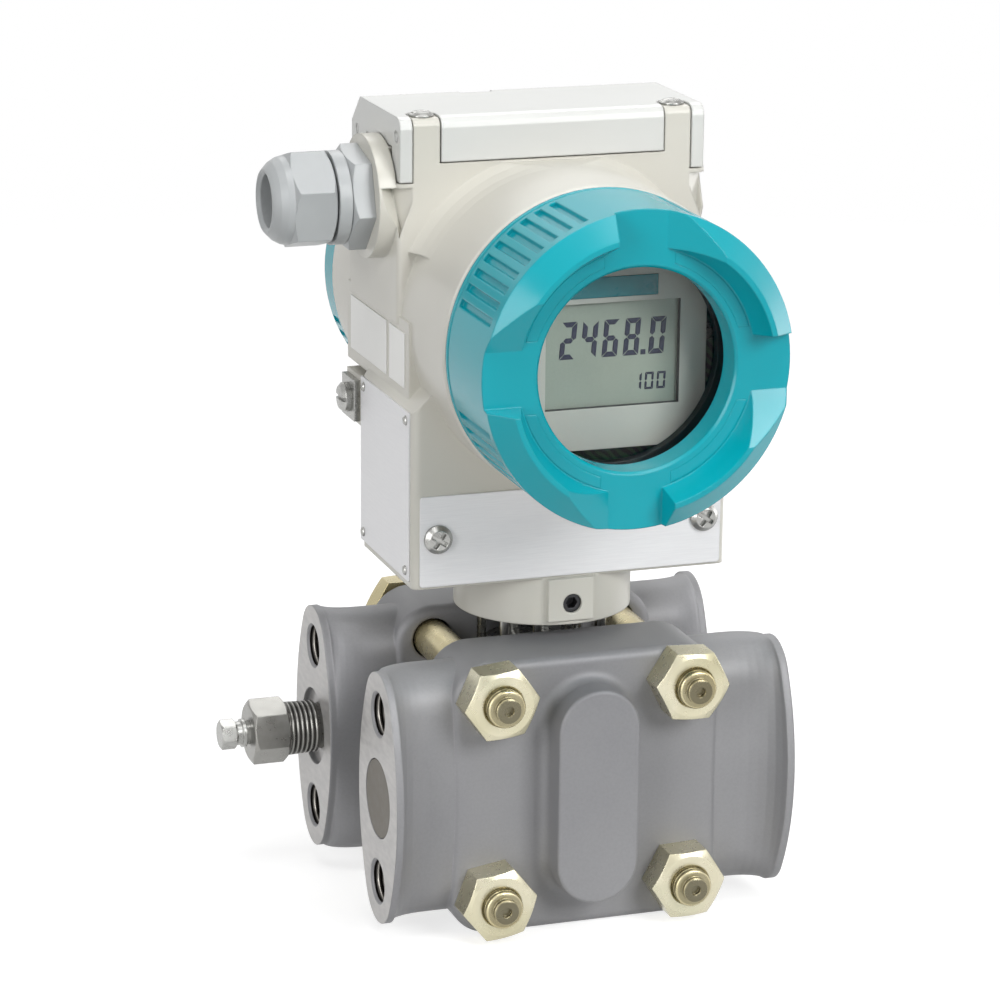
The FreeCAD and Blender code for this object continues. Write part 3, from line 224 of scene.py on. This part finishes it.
# ---------------------------------------------------------------- materials
def paint(name, low, base, high, rough, coat, peel=0.10, edge=0.0006, clouds=14.0, level=0.5):
    """Sprayed enamel: faint cloudiness, slight orange peel and a little dust in its shine."""
    m = Mat(name)
    shade = m.ramp(m.noise(clouds, 2.0, 0.4), [(0.3, low), (0.5, base), (0.7, high)])
    worn = m.math("MULTIPLY", m.wear(0.0006), m.span(m.noise(150.0, 3.0), 0.0, 0.35, 0.45, 0.7))
    m.put("Base Color", m.mix(worn, shade, high))
    m.put("Roughness", m.span(m.noise(70.0, 3.0), rough - 0.03, rough + 0.05, 0.3, 0.7))
    m.put("Specular IOR Level", level)
    m.put("Coat Weight", coat)
    m.put("Coat Roughness", 0.06)
    m.bump([(m.noise(420.0, 2.0), peel, 0.0001)], edge)
    return m.m


def cast_metal():
    """Passivated casting: satin grey with a fine sand texture, lighter where edges are rubbed."""
    m = Mat("cast_grey_metal")
    broad = m.noise(20.0, 4.0, 0.55)
    fine = m.noise(1300.0, 3.0, 0.65)
    tones = [(0.3, srgb(134, 134, 137)), (0.5, srgb(142, 142, 144)), (0.72, srgb(149, 149, 151))]
    base = m.ramp(broad, tones)
    grain = m.ramp(fine, [(0.35, srgb(132, 132, 134)), (0.62, srgb(153, 153, 155))])
    body = m.mix(0.18, base, grain)
    worn = m.math("MULTIPLY", m.wear(0.0010), m.span(m.noise(120.0, 4.0), 0.1, 0.7, 0.35, 0.65))
    m.put("Base Color", m.mix(worn, body, srgb(176, 175, 177)))
    m.put("Metallic", 0.2)
    m.put("Specular IOR Level", 0.35)
    m.put("Roughness", m.span(fine, 0.46, 0.56, 0.3, 0.7))
    m.bump([(m.noise(1000.0, 3.0, 0.6), 0.16, 0.0001), (m.noise(120.0, 3.0), 0.12, 0.0003)], 0.0010)
    return m.m


def thread_bump(m, axis, pitch, low, high):
    """Screw-thread ridges along one axis, between two places on it."""
    split = m.node("ShaderNodeSeparateXYZ")
    m.link(m.object_coords, split.inputs[0])
    along = split.outputs[axis]
    wave = m.math("SINE", m.math("MULTIPLY", along, 2 * math.pi / pitch))
    inside = m.math("MULTIPLY", m.math("GREATER_THAN", along, low), m.math("LESS_THAN", along, high))
    return m.math("MULTIPLY", m.math("ADD", m.math("MULTIPLY", wave, 0.5), 0.5), inside), inside


def tapped_hole():
    """Wall of a tapped hole: bright thread crests over dark roots, painted highlight and painted shade of the
    thread.
    """
    m = Mat("tapped_hole")
    ridge, _ = thread_bump(m, "X", 0.0015, -1.0, 1.0)
    # Painted light and shade of the thread: crests lightened, roots darkened
    tones = [(0.2, srgb(50, 48, 46)), (0.6, srgb(118, 114, 108)), (0.9, srgb(176, 172, 166))]
    m.put("Base Color", m.ramp(ridge, tones))
    m.put("Metallic", 0.8)
    m.put("Roughness", m.span(m.noise(500.0), 0.3, 0.5, 0.3, 0.7))
    m.bump([(ridge, 0.9, 0.0005)])
    return m.m


def machined_face():
    """Faced end of a flange: a light satin with faint tool marks."""
    m = Mat("machined_face")
    fine = m.noise(700.0, 3.0, vector=m.scaled(1.0, 0.35, 1.0))
    m.put("Base Color", m.ramp(fine, [(0.3, srgb(164, 162, 161)), (0.7, srgb(188, 186, 184))]))
    m.put("Metallic", 0.6)
    m.put("Roughness", m.span(fine, 0.34, 0.5, 0.3, 0.7))
    m.bump([(fine, 0.2, 0.00006)], 0.0006)
    return m.m


def metal(name, dark, light, rough, metallic=1.0, stretch=(1, 1, 1), scale=500.0, bump=0.12, edge=0.0004,
          thread=None):
    """Bare metal between two tones, with a fine grain that can be stretched, and a thread if one is given,
    with painted shade in its roots.
    """
    m = Mat(name)
    fine = m.noise(scale, 3.0, vector=m.scaled(*stretch))
    broad = m.noise(45.0, 3.0)
    tone = m.mix(0.35, m.ramp(fine, [(0.3, dark), (0.7, light)]), m.ramp(broad, [(0.3, dark), (0.7, light)]))
    bumps = [(fine, bump, 0.00005)]
    if thread:
        ridge, inside = thread_bump(m, *thread)
        # Painted shade: the thread's roots are darkened towards a near black
        tone = m.mix(m.math("MULTIPLY", m.math("SUBTRACT", inside, ridge), 0.9), tone, srgb(34, 33, 31))
        bumps.append((ridge, 0.8, 0.0004))
    m.put("Base Color", tone)
    m.put("Metallic", metallic)
    m.put("Roughness", m.span(fine, rough - 0.06, rough + 0.08, 0.3, 0.7))
    m.bump(bumps, edge)
    return m.m


def chromate(name, tones, thread=None):
    """Zinc plating: pale straw with faint green and pink tints, darker in the thread's roots as painted
    shade.
    """
    m = Mat(name)
    tint = m.noise(60.0, 2.0, 0.4)
    base = m.ramp(tint, list(zip((0.3, 0.45, 0.6, 0.75), tones)))
    bumps = [(m.noise(900.0, 2.0), 0.04, 0.00004)]
    if thread:
        ridge, inside = thread_bump(m, *thread)
        # Painted shade: the thread's roots are darkened
        base = m.mix(m.math("MULTIPLY", m.math("SUBTRACT", inside, ridge), 0.8), base, srgb(66, 64, 56))
        bumps.append((ridge, 0.8, 0.0004))
    m.put("Base Color", base)
    m.put("Metallic", 0.85)
    m.put("Roughness", m.span(m.noise(500.0), 0.24, 0.34, 0.3, 0.7))
    m.bump(bumps, 0.0004)
    return m.m


def plastic(name, base, high, rough, bump=0.1):
    """Moulded plastic or film: slight cloudiness and a very fine moulded texture."""
    m = Mat(name)
    m.put("Base Color", m.ramp(m.noise(60.0, 3.0), [(0.3, base), (0.7, high)]))
    m.put("Roughness", m.span(m.noise(240.0, 3.0), rough - 0.05, rough + 0.06, 0.3, 0.7))
    m.bump([(m.noise(900.0, 2.0), bump, 0.00006)], 0.0004)
    return m.m


def glass():
    """Clear window: see-through, with a polished surface and the faintest film of dust."""
    m = Mat("window_glass_clear")
    t = m.t
    t.nodes.remove(m.bsdf)
    clear = m.node("ShaderNodeBsdfTransparent")
    film = m.noise(55.0, 3.0)
    m.link(m.ramp(film, [(0.3, (0.93, 0.95, 0.95, 1)), (0.7, (0.97, 0.985, 0.98, 1))]), clear.inputs["Color"])
    gloss = m.node("ShaderNodeBsdfGlossy")
    gloss.inputs["Roughness"].default_value = 0.03
    bend = m.node("ShaderNodeFresnel")
    bend.inputs["IOR"].default_value = 1.28
    mix = m.node("ShaderNodeMixShader")
    m.link(bend.outputs[0], mix.inputs[0])
    m.link(clear.outputs[0], mix.inputs[1])
    m.link(gloss.outputs[0], mix.inputs[2])
    m.link(mix.outputs[0], t.nodes["Material Output"].inputs[0])
    return m.m


def lcd_ground():
    """Reflective display: grey green in cloudy tones, fine cell grid."""
    m = Mat("lcd_ground")
    cloud = m.noise(35.0, 2.0)
    base = m.ramp(cloud, [(0.3, srgb(166, 177, 164)), (0.7, srgb(180, 190, 176))])
    grain = m.ramp(m.noise(4500.0, 1.0), [(0.4, srgb(160, 170, 158)), (0.6, srgb(188, 196, 184))])
    m.put("Base Color", m.mix(0.2, base, grain))
    m.put("Roughness", 0.28)
    m.put("Coat Weight", 0.3)
    m.bump([(m.noise(3000.0, 1.0), 0.03, 0.00003)])
    return m.m


def board():
    """Green circuit board with paler tracks under the lacquer, its greens darkened as painted shade of the
    chamber.
    """
    m = Mat("circuit_board")
    wave = m.node("ShaderNodeTexWave", wave_type="BANDS", bands_direction="DIAGONAL")
    wave.inputs["Scale"].default_value = 260.0
    wave.inputs["Distortion"].default_value = 3.0
    wave.inputs["Detail"].default_value = 1.0
    m.link(m.object_coords, wave.inputs["Vector"])
    # Painted shade: both greens are kept dark, for the shade inside the chamber
    m.put("Base Color", m.ramp(wave.outputs["Fac"], [(0.45, srgb(10, 36, 24)), (0.6, srgb(34, 74, 40))]))
    m.put("Roughness", m.span(m.noise(400.0), 0.3, 0.45, 0.3, 0.7))
    m.bump([(wave.outputs["Fac"], 0.15, 0.0001)])
    return m.m


ZINC = (srgb(190, 184, 154), srgb(202, 196, 168), srgb(210, 204, 180), srgb(196, 194, 168))
BOLT_ZINC = (srgb(184, 172, 130), srgb(198, 186, 146), srgb(206, 196, 160), srgb(192, 182, 144))
BOLT_THREAD = ("Y", 0.00125, -1.0, NUT_FRONT)
VENT_THREAD = ("X", 0.0012, VENT_FACE - 0.0073, VENT_FACE - 0.0002)
PLAIN = (1, 1, 1)

MATERIALS = {
    "cast_grey": cast_metal(),
    "machined": machined_face(),
    "tapped": tapped_hole(),
    "steel": metal("bright_steel", srgb(146, 146, 143), srgb(176, 176, 173), 0.28, 1.0, PLAIN, 420.0),
    "turned_steel": metal("turned_steel", srgb(165, 165, 163), srgb(200, 200, 198), 0.3, 1.0, (14, 1, 1),
                          120.0),
    "vent_steel": metal("vent_steel", srgb(134, 133, 129), srgb(154, 153, 149), 0.3, 1.0, PLAIN, 300.0, 0.05,
                        0.0003, VENT_THREAD),
    "black_steel": metal("black_oxide", srgb(48, 48, 50), srgb(66, 66, 68), 0.4, 0.8),
    "plug_grey": metal("plug_disc", srgb(88, 83, 75), srgb(106, 101, 92), 0.5, 0.4),
    "plate_silver": metal("plate_silver", srgb(222, 222, 224), srgb(232, 232, 233), 0.4, 0.2, (1, 1, 26),
                          160.0, 0.03),
    "zinc_yellow": chromate("pale_zinc", ZINC),
    "zinc_bolt": chromate("bolt_zinc", BOLT_ZINC, BOLT_THREAD),
    "paint_beige": paint("beige_enamel", srgb(198, 196, 186), srgb(202, 200, 191), srgb(208, 206, 198),
                         0.36, 0.12),
    "paint_white": paint("white_enamel", srgb(202, 203, 200), srgb(207, 208, 205), srgb(212, 213, 210),
                         0.34, 0.15),
    "paint_turquoise": paint("turquoise_enamel", srgb(0, 156, 169), srgb(0, 162, 176), srgb(2, 168, 182),
                             0.2, 0.0, 0.05, 0.0005, 9.0, 0.34),
    # Painted shade: a black for hollows and walls that lie in shade, not a finish the parts have
    "dark_inside": paint("painted_shade_black", srgb(22, 23, 24), srgb(26, 27, 28), srgb(32, 33, 34), 0.5, 0.0),
    "rubber_black": plastic("black_rubber", srgb(28, 28, 29), srgb(38, 38, 38), 0.65),
    "plastic_grey": plastic("grey_moulding", srgb(218, 216, 208), srgb(226, 224, 216), 0.4),
    "plastic_turquoise": plastic("turquoise_moulding", srgb(0, 128, 140), srgb(8, 138, 150), 0.3),
    "plastic_black": plastic("black_moulding", srgb(26, 27, 30), srgb(36, 37, 40), 0.45),
    "gland_grey": plastic("gland_polyamide", srgb(164, 167, 168), srgb(174, 177, 178), 0.36),
    "label_white": plastic("label_film", srgb(238, 238, 235), srgb(243, 243, 240), 0.42, 0.04),
    "digit": plastic("display_ink", srgb(24, 30, 62), srgb(30, 36, 70), 0.4, 0.0),
    "lcd": lcd_ground(),
    "board_green": board(),
    "window_glass": glass(),
}

for part in frame["record"]["subparts"]:
    node, slot = part["node"], part["material_slot"]
    obj = NODES[node]
    obj.data.materials.clear()
    obj.data.materials.append(MATERIALS[slot])


def faced_ends(node):
    """Gives the end planes of a flange the machined material and its holes the tapped one."""
    obj = NODES[node]
    obj.data.materials.append(MATERIALS["machined"])
    obj.data.materials.append(MATERIALS["tapped"])
    low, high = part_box(node)
    side = 1 if node == "flange_rear" else -1
    y = CELL.y + side * PORT_OFFSET
    holes = [(y, CELL.z + k * HOLE_PITCH / 2, HOLE_WALL_R if k else PORT_WALL_R) for k in (-1, 0, 1)]
    verts = obj.data.vertices
    for poly in obj.data.polygons:
        c = poly.center
        points = [verts[i].co for i in poly.vertices]
        flat = max(p.x for p in points) - min(p.x for p in points) < 2e-6
        at_end = c.x - low.x < END_BAND or high.x - c.x < END_BAND
        in_hole = any(max(math.hypot(p.y - y, p.z - z) for p in points) < r for y, z, r in holes)
        if flat and abs(poly.normal.x) > 0.999 and at_end:
            poly.material_index = 1
        elif abs(c.x) > ARM_START and in_hole:
            poly.material_index = 2


def inner_faces(node, material, radius, low_y, high_y):
    """Gives the faces near the drum's axis, between two places along it, another material."""
    obj = NODES[node]
    obj.data.materials.append(MATERIALS[material])
    for poly in obj.data.polygons:
        c = poly.center
        if low_y < c.y < high_y and math.hypot(c.x - DRUM.x, c.z - DRUM.z) < radius:
            poly.material_index = len(obj.data.materials) - 1


faced_ends("flange_front")
faced_ends("flange_rear")
# The inside of the front cover and of the drum take a black that is painted shade of the closed chamber.
inner_faces("front_cover", "dark_inside", CHAMBER_R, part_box("window_glass")[0].y - 0.0004, 1.0)
inner_faces("housing", "dark_inside", DRUM_BORE_R, -1.0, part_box("electronics_module")[1].y + 0.0005)


def opening_walls(node, inside, material):
    """Gives the walls of an opening, those that stand round another node, their own material."""
    obj = NODES[node]
    obj.data.materials.append(MATERIALS[material])
    low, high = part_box(inside)
    edge = 0.0015
    for poly in obj.data.polygons:
        c = poly.center
        near = low.x - edge < c.x < high.x + edge and low.z - edge < c.z < high.z + edge
        if near and abs(poly.normal.y) < 0.4:
            poly.material_index = 1


# The walls of the display's opening take the black as painted shade round the display.
opening_walls("display_bezel", "lcd_panel", "dark_inside")
# The glass retainer takes the black moulding as painted shade of the dark chamber it sits in; the bolts and
# the vent valve take their threaded finishes.
for name, material in (("flange_bolts", "zinc_bolt"), ("vent_valve_body", "vent_steel"),
                       ("glass_retainer", "plastic_black")):
    NODES[name].data.materials.clear()
    NODES[name].data.materials.append(MATERIALS[material])


# ---------------------------------------------------------------- new pieces
def piece(name, mesh, material, body):
    """Adds one new piece that rides on a body and takes its finish from the materials table."""
    obj = bpy.data.objects.new(name, mesh)
    bpy.context.scene.collection.objects.link(obj)
    mesh.materials.append(MATERIALS[material])
    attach(obj, body)
    return obj


def extruded(outlines, place, depth):
    """Mesh of flat outlines (lists of (u, v)) lifted by depth; place maps (u, v, w) to a point."""
    bm = bmesh.new()
    for outline in outlines:
        front = [bm.verts.new(place(u, v, depth)) for u, v in outline]
        back = [bm.verts.new(place(u, v, 0.0)) for u, v in outline]
        bm.faces.new(front)
        bm.faces.new(back[::-1])
        count = len(outline)
        for i in range(count):
            j = (i + 1) % count
            bm.faces.new((front[j], front[i], back[i], back[j]))
    bmesh.ops.recalc_face_normals(bm, faces=bm.faces)
    mesh = bpy.data.meshes.new("outline")
    bm.to_mesh(mesh)
    bm.free()
    return mesh


SEGMENTS = {"0": "abcdef", "1": "bc", "2": "abged", "3": "abgcd", "4": "fgbc", "5": "afgcd",
            "6": "afgedc", "7": "abc", "8": "abcdefg", "9": "abcdfg"}


def digit_outlines(text, x, y, width, height, bar, gap, lean):
    """Seven-segment outlines for a row of digits, starting at x, with their feet at y."""
    w, h, t, g = width, height, bar, 0.12 * bar
    m = h / 2
    shapes = {
        "a": [(g, h), (w - g, h), (w - t, h - t), (t, h - t)],
        "d": [(g, 0), (t, t), (w - t, t), (w - g, 0)],
        "g": [(t, m - t / 2), (t / 2 + g, m), (t, m + t / 2), (w - t, m + t / 2), (w - t / 2 - g, m),
              (w - t, m - t / 2)],
        "f": [(0, h - g), (t, h - t - g), (t, m + t / 2 + g), (t / 2, m + g), (0, m + t / 2)],
        "e": [(0, g), (0, m - t / 2), (t / 2, m - g), (t, m - t / 2 - g), (t, t + g)],
        "b": [(w, h - g), (w, m + t / 2), (w - t / 2, m + g), (w - t, m + t / 2 + g), (w - t, h - t - g)],
        "c": [(w, g), (w - t, t + g), (w - t, m - t / 2 - g), (w - t / 2, m - g), (w, m - t / 2)],
    }
    out = []
    for char in text:
        if char == ".":
            x -= gap * 0.55
            out.append([(x, y), (x + t, y), (x + t, y + t), (x, y + t)])
            x += t + gap * 0.45
            continue
        for segment in SEGMENTS[char]:
            out.append([(x + u + lean * v, y + v) for u, v in shapes[segment]])
        x += w + gap
    return out


def display_digits():
    """Dark segments on the display's face: one large value and a small one under it."""
    middle = centre("lcd_panel")
    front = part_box("lcd_panel")[0].y

    def place(u, v, w):
        return Vector((middle.x + u, front - 0.00001 - w, middle.z + v))

    big = digit_outlines("2468.0", -0.0124, -0.0008, 0.0037, 0.0086, 0.00118, 0.0014, 0.08)
    small = digit_outlines("100", 0.0054, -0.0090, 0.0021, 0.0040, 0.00052, 0.0008, 0.05)
    mesh = extruded(big + small, place, 0.00006)
    piece("display_digits", mesh, "digit", "housing_body")


def ring_bands():
    """Flush inlays of the four shallow arcs round the window, so that the ring's face reads as one."""
    inner, outer, half_gap, steps = 0.0251, 0.0277, 0.0083, 40
    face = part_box("front_cover")[0].y + TOOTH_HEIGHT
    outlines = []
    for quarter in range(4):
        turn = math.radians(90.0 * quarter)
        arcs = []
        for radius in (inner, outer):
            start = math.asin(half_gap / radius)
            end = math.pi / 2 - start
            angles = [turn + start + (end - start) * k / steps for k in range(steps + 1)]
            arcs.append([(radius * math.sin(a), radius * math.cos(a)) for a in angles])
        outlines.append(arcs[0] + arcs[1][::-1])

    def place(u, v, w):
        return Vector((DRUM.x + u, face + 0.0005 - w, DRUM.z + v))

    piece("cover_ring_inlays", extruded(outlines, place, 0.00053), "paint_turquoise", "front_cover_body")


def key_boots():
    """Rubber sleeves round the keys: copies that ride on the housing body in place of the CAD boots."""
    for index in (1, 2, 3):
        node = "key_boot_%d" % index
        mesh = NODES[node].data.copy()
        mesh.materials.clear()
        boot = piece("soft_boot_%d" % index, mesh, "rubber_black", "housing_body")
        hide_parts(node)
        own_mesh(boot)


display_digits()
ring_bands()
key_boots()


# ---------------------------------------------------------------- floor, light and camera
def background_rays(tree):
    """1 for the rays that show the background: camera, glossy and transmission rays."""
    path = tree.nodes.new("ShaderNodeLightPath")
    last = path.outputs["Is Camera Ray"]
    for name in ("Is Glossy Ray", "Is Transmission Ray"):
        either = tree.nodes.new("ShaderNodeMath")
        either.operation = "MAXIMUM"
        tree.links.new(last, either.inputs[0])
        tree.links.new(path.outputs[name], either.inputs[1])
        last = either.outputs[0]
    return last


def stage():
    """Pale floor round the object that fades into the white background."""
    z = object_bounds()[0].z - 0.0002
    size = 1.6
    mesh = bpy.data.meshes.new("floor")
    corners = [(-size, -size, z), (size, -size, z), (size, size, z), (-size, size, z)]
    mesh.from_pydata(corners, [], [(0, 1, 2, 3)])
    floor = bpy.data.objects.new("floor", mesh)
    bpy.context.scene.collection.objects.link(floor)
    m = Mat("floor_pale")
    m.put("Base Color", m.ramp(m.noise(3.0), [(0.3, (0.44, 0.44, 0.44, 1)), (0.7, (0.46, 0.46, 0.46, 1))]))
    m.put("Roughness", 0.9)
    m.put("Specular IOR Level", 0.1)
    glow = m.node("ShaderNodeEmission")
    m.link(m.math("MULTIPLY", background_rays(m.t), FLOOR_GLOW), glow.inputs["Strength"])
    lit = m.node("ShaderNodeAddShader")
    m.link(m.bsdf.outputs[0], lit.inputs[0])
    m.link(glow.outputs[0], lit.inputs[1])
    reach = m.node("ShaderNodeVectorMath", operation="LENGTH")
    m.link(m.object_coords, reach.inputs[0])
    mix = m.node("ShaderNodeMixShader")
    m.link(m.span(reach.outputs["Value"], 0.0, 1.0, 0.30, 0.85), mix.inputs[0])
    m.link(lit.outputs[0], mix.inputs[1])
    m.link(m.node("ShaderNodeBsdfTransparent").outputs[0], mix.inputs[2])
    m.link(mix.outputs[0], m.t.nodes["Material Output"].inputs[0])
    mesh.materials.append(m.m)
    floor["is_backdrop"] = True


def world():
    """White to the camera, in reflections and through glass; soft sky-like fill for diffuse light."""
    w = bpy.data.worlds.new("studio")
    bpy.context.scene.world = w
    w.use_nodes = True
    t = w.node_tree
    t.nodes.clear()
    link = t.links.new
    coords = t.nodes.new("ShaderNodeTexCoord")
    split = t.nodes.new("ShaderNodeSeparateXYZ")
    height = t.nodes.new("ShaderNodeMapRange")
    height.inputs["From Min"].default_value = -1.0
    ramp = t.nodes.new("ShaderNodeValToRGB")
    ramp.color_ramp.elements.new(0.5)
    stops = ((0.35, 0.2), (0.55, 0.7), (1.0, 1.0))
    for element, (place, grey) in zip(ramp.color_ramp.elements, stops):
        element.position = place
        element.color = (grey, grey, grey, 1)
    fill = t.nodes.new("ShaderNodeBackground")
    fill.inputs["Strength"].default_value = FILL
    white = t.nodes.new("ShaderNodeBackground")
    white.inputs["Color"].default_value = (1, 1, 1, 1)
    mix = t.nodes.new("ShaderNodeMixShader")
    out = t.nodes.new("ShaderNodeOutputWorld")
    link(coords.outputs["Generated"], split.inputs[0])
    link(split.outputs["Z"], height.inputs["Value"])
    link(height.outputs["Result"], ramp.inputs["Fac"])
    link(ramp.outputs["Color"], fill.inputs["Color"])
    link(background_rays(t), mix.inputs[0])
    link(fill.outputs[0], mix.inputs[1])
    link(white.outputs[0], mix.inputs[2])
    link(mix.outputs[0], out.inputs[0])


def area_light(name, place, target, size, power):
    """Rectangular softbox that looks at a point."""
    data = bpy.data.lights.new(name, "AREA")
    data.shape = "RECTANGLE"
    data.size, data.size_y = size
    data.energy = power
    obj = bpy.data.objects.new(name, data)
    bpy.context.scene.collection.objects.link(obj)
    obj.location = place
    obj.rotation_euler = (Vector(target) - Vector(place)).to_track_quat("-Z", "Y").to_euler()


def lights():
    """Key from the front right, softboxes above, left, right and behind."""
    middle = (0.0, 0.0, 0.11)
    area_light("key", (0.55, -1.05, 0.75), middle, (0.6, 0.6), 12.0)
    area_light("top", (-0.05, -0.25, 1.3), middle, (0.9, 0.5), 7.5)
    area_light("left", (-1.1, -0.7, 0.45), middle, (0.5, 0.9), 8.0)
    area_light("right", (1.15, 0.3, 0.3), middle, (0.4, 0.9), 4.0)
    area_light("back", (0.2, 0.9, 0.9), middle, (0.9, 0.4), 3.0)


def camera():
    """Camera at the photograph's angle: place, turn, tilt and a slight roll."""
    place = Vector((-0.2959, CELL.y - 0.8279, 0.3442))
    yaw, pitch, roll = math.radians(19.0), math.radians(-15.8), math.radians(0.6)
    forward = Vector((math.sin(yaw) * math.cos(pitch), math.cos(yaw) * math.cos(pitch), math.sin(pitch)))
    right = forward.cross(Vector((0, 0, 1))).normalized()
    up = right.cross(forward)
    c, s = math.cos(roll), math.sin(roll)
    right, up = right * c + up * s, up * c - right * s
    data = bpy.data.cameras.new("camera")
    data.sensor_width = 36.0
    data.lens = 3817.9 / 1000 * 36.0
    data.clip_start = 0.01
    obj = bpy.data.objects.new("camera", data)
    bpy.context.scene.collection.objects.link(obj)
    turn = Matrix((right, up, -forward)).transposed().to_4x4()
    obj.matrix_world = Matrix.Translation(place) @ turn
    bpy.context.scene.camera = obj


stage()
world()
lights()
camera()
bpy.context.scene.view_settings.view_transform = "Standard"
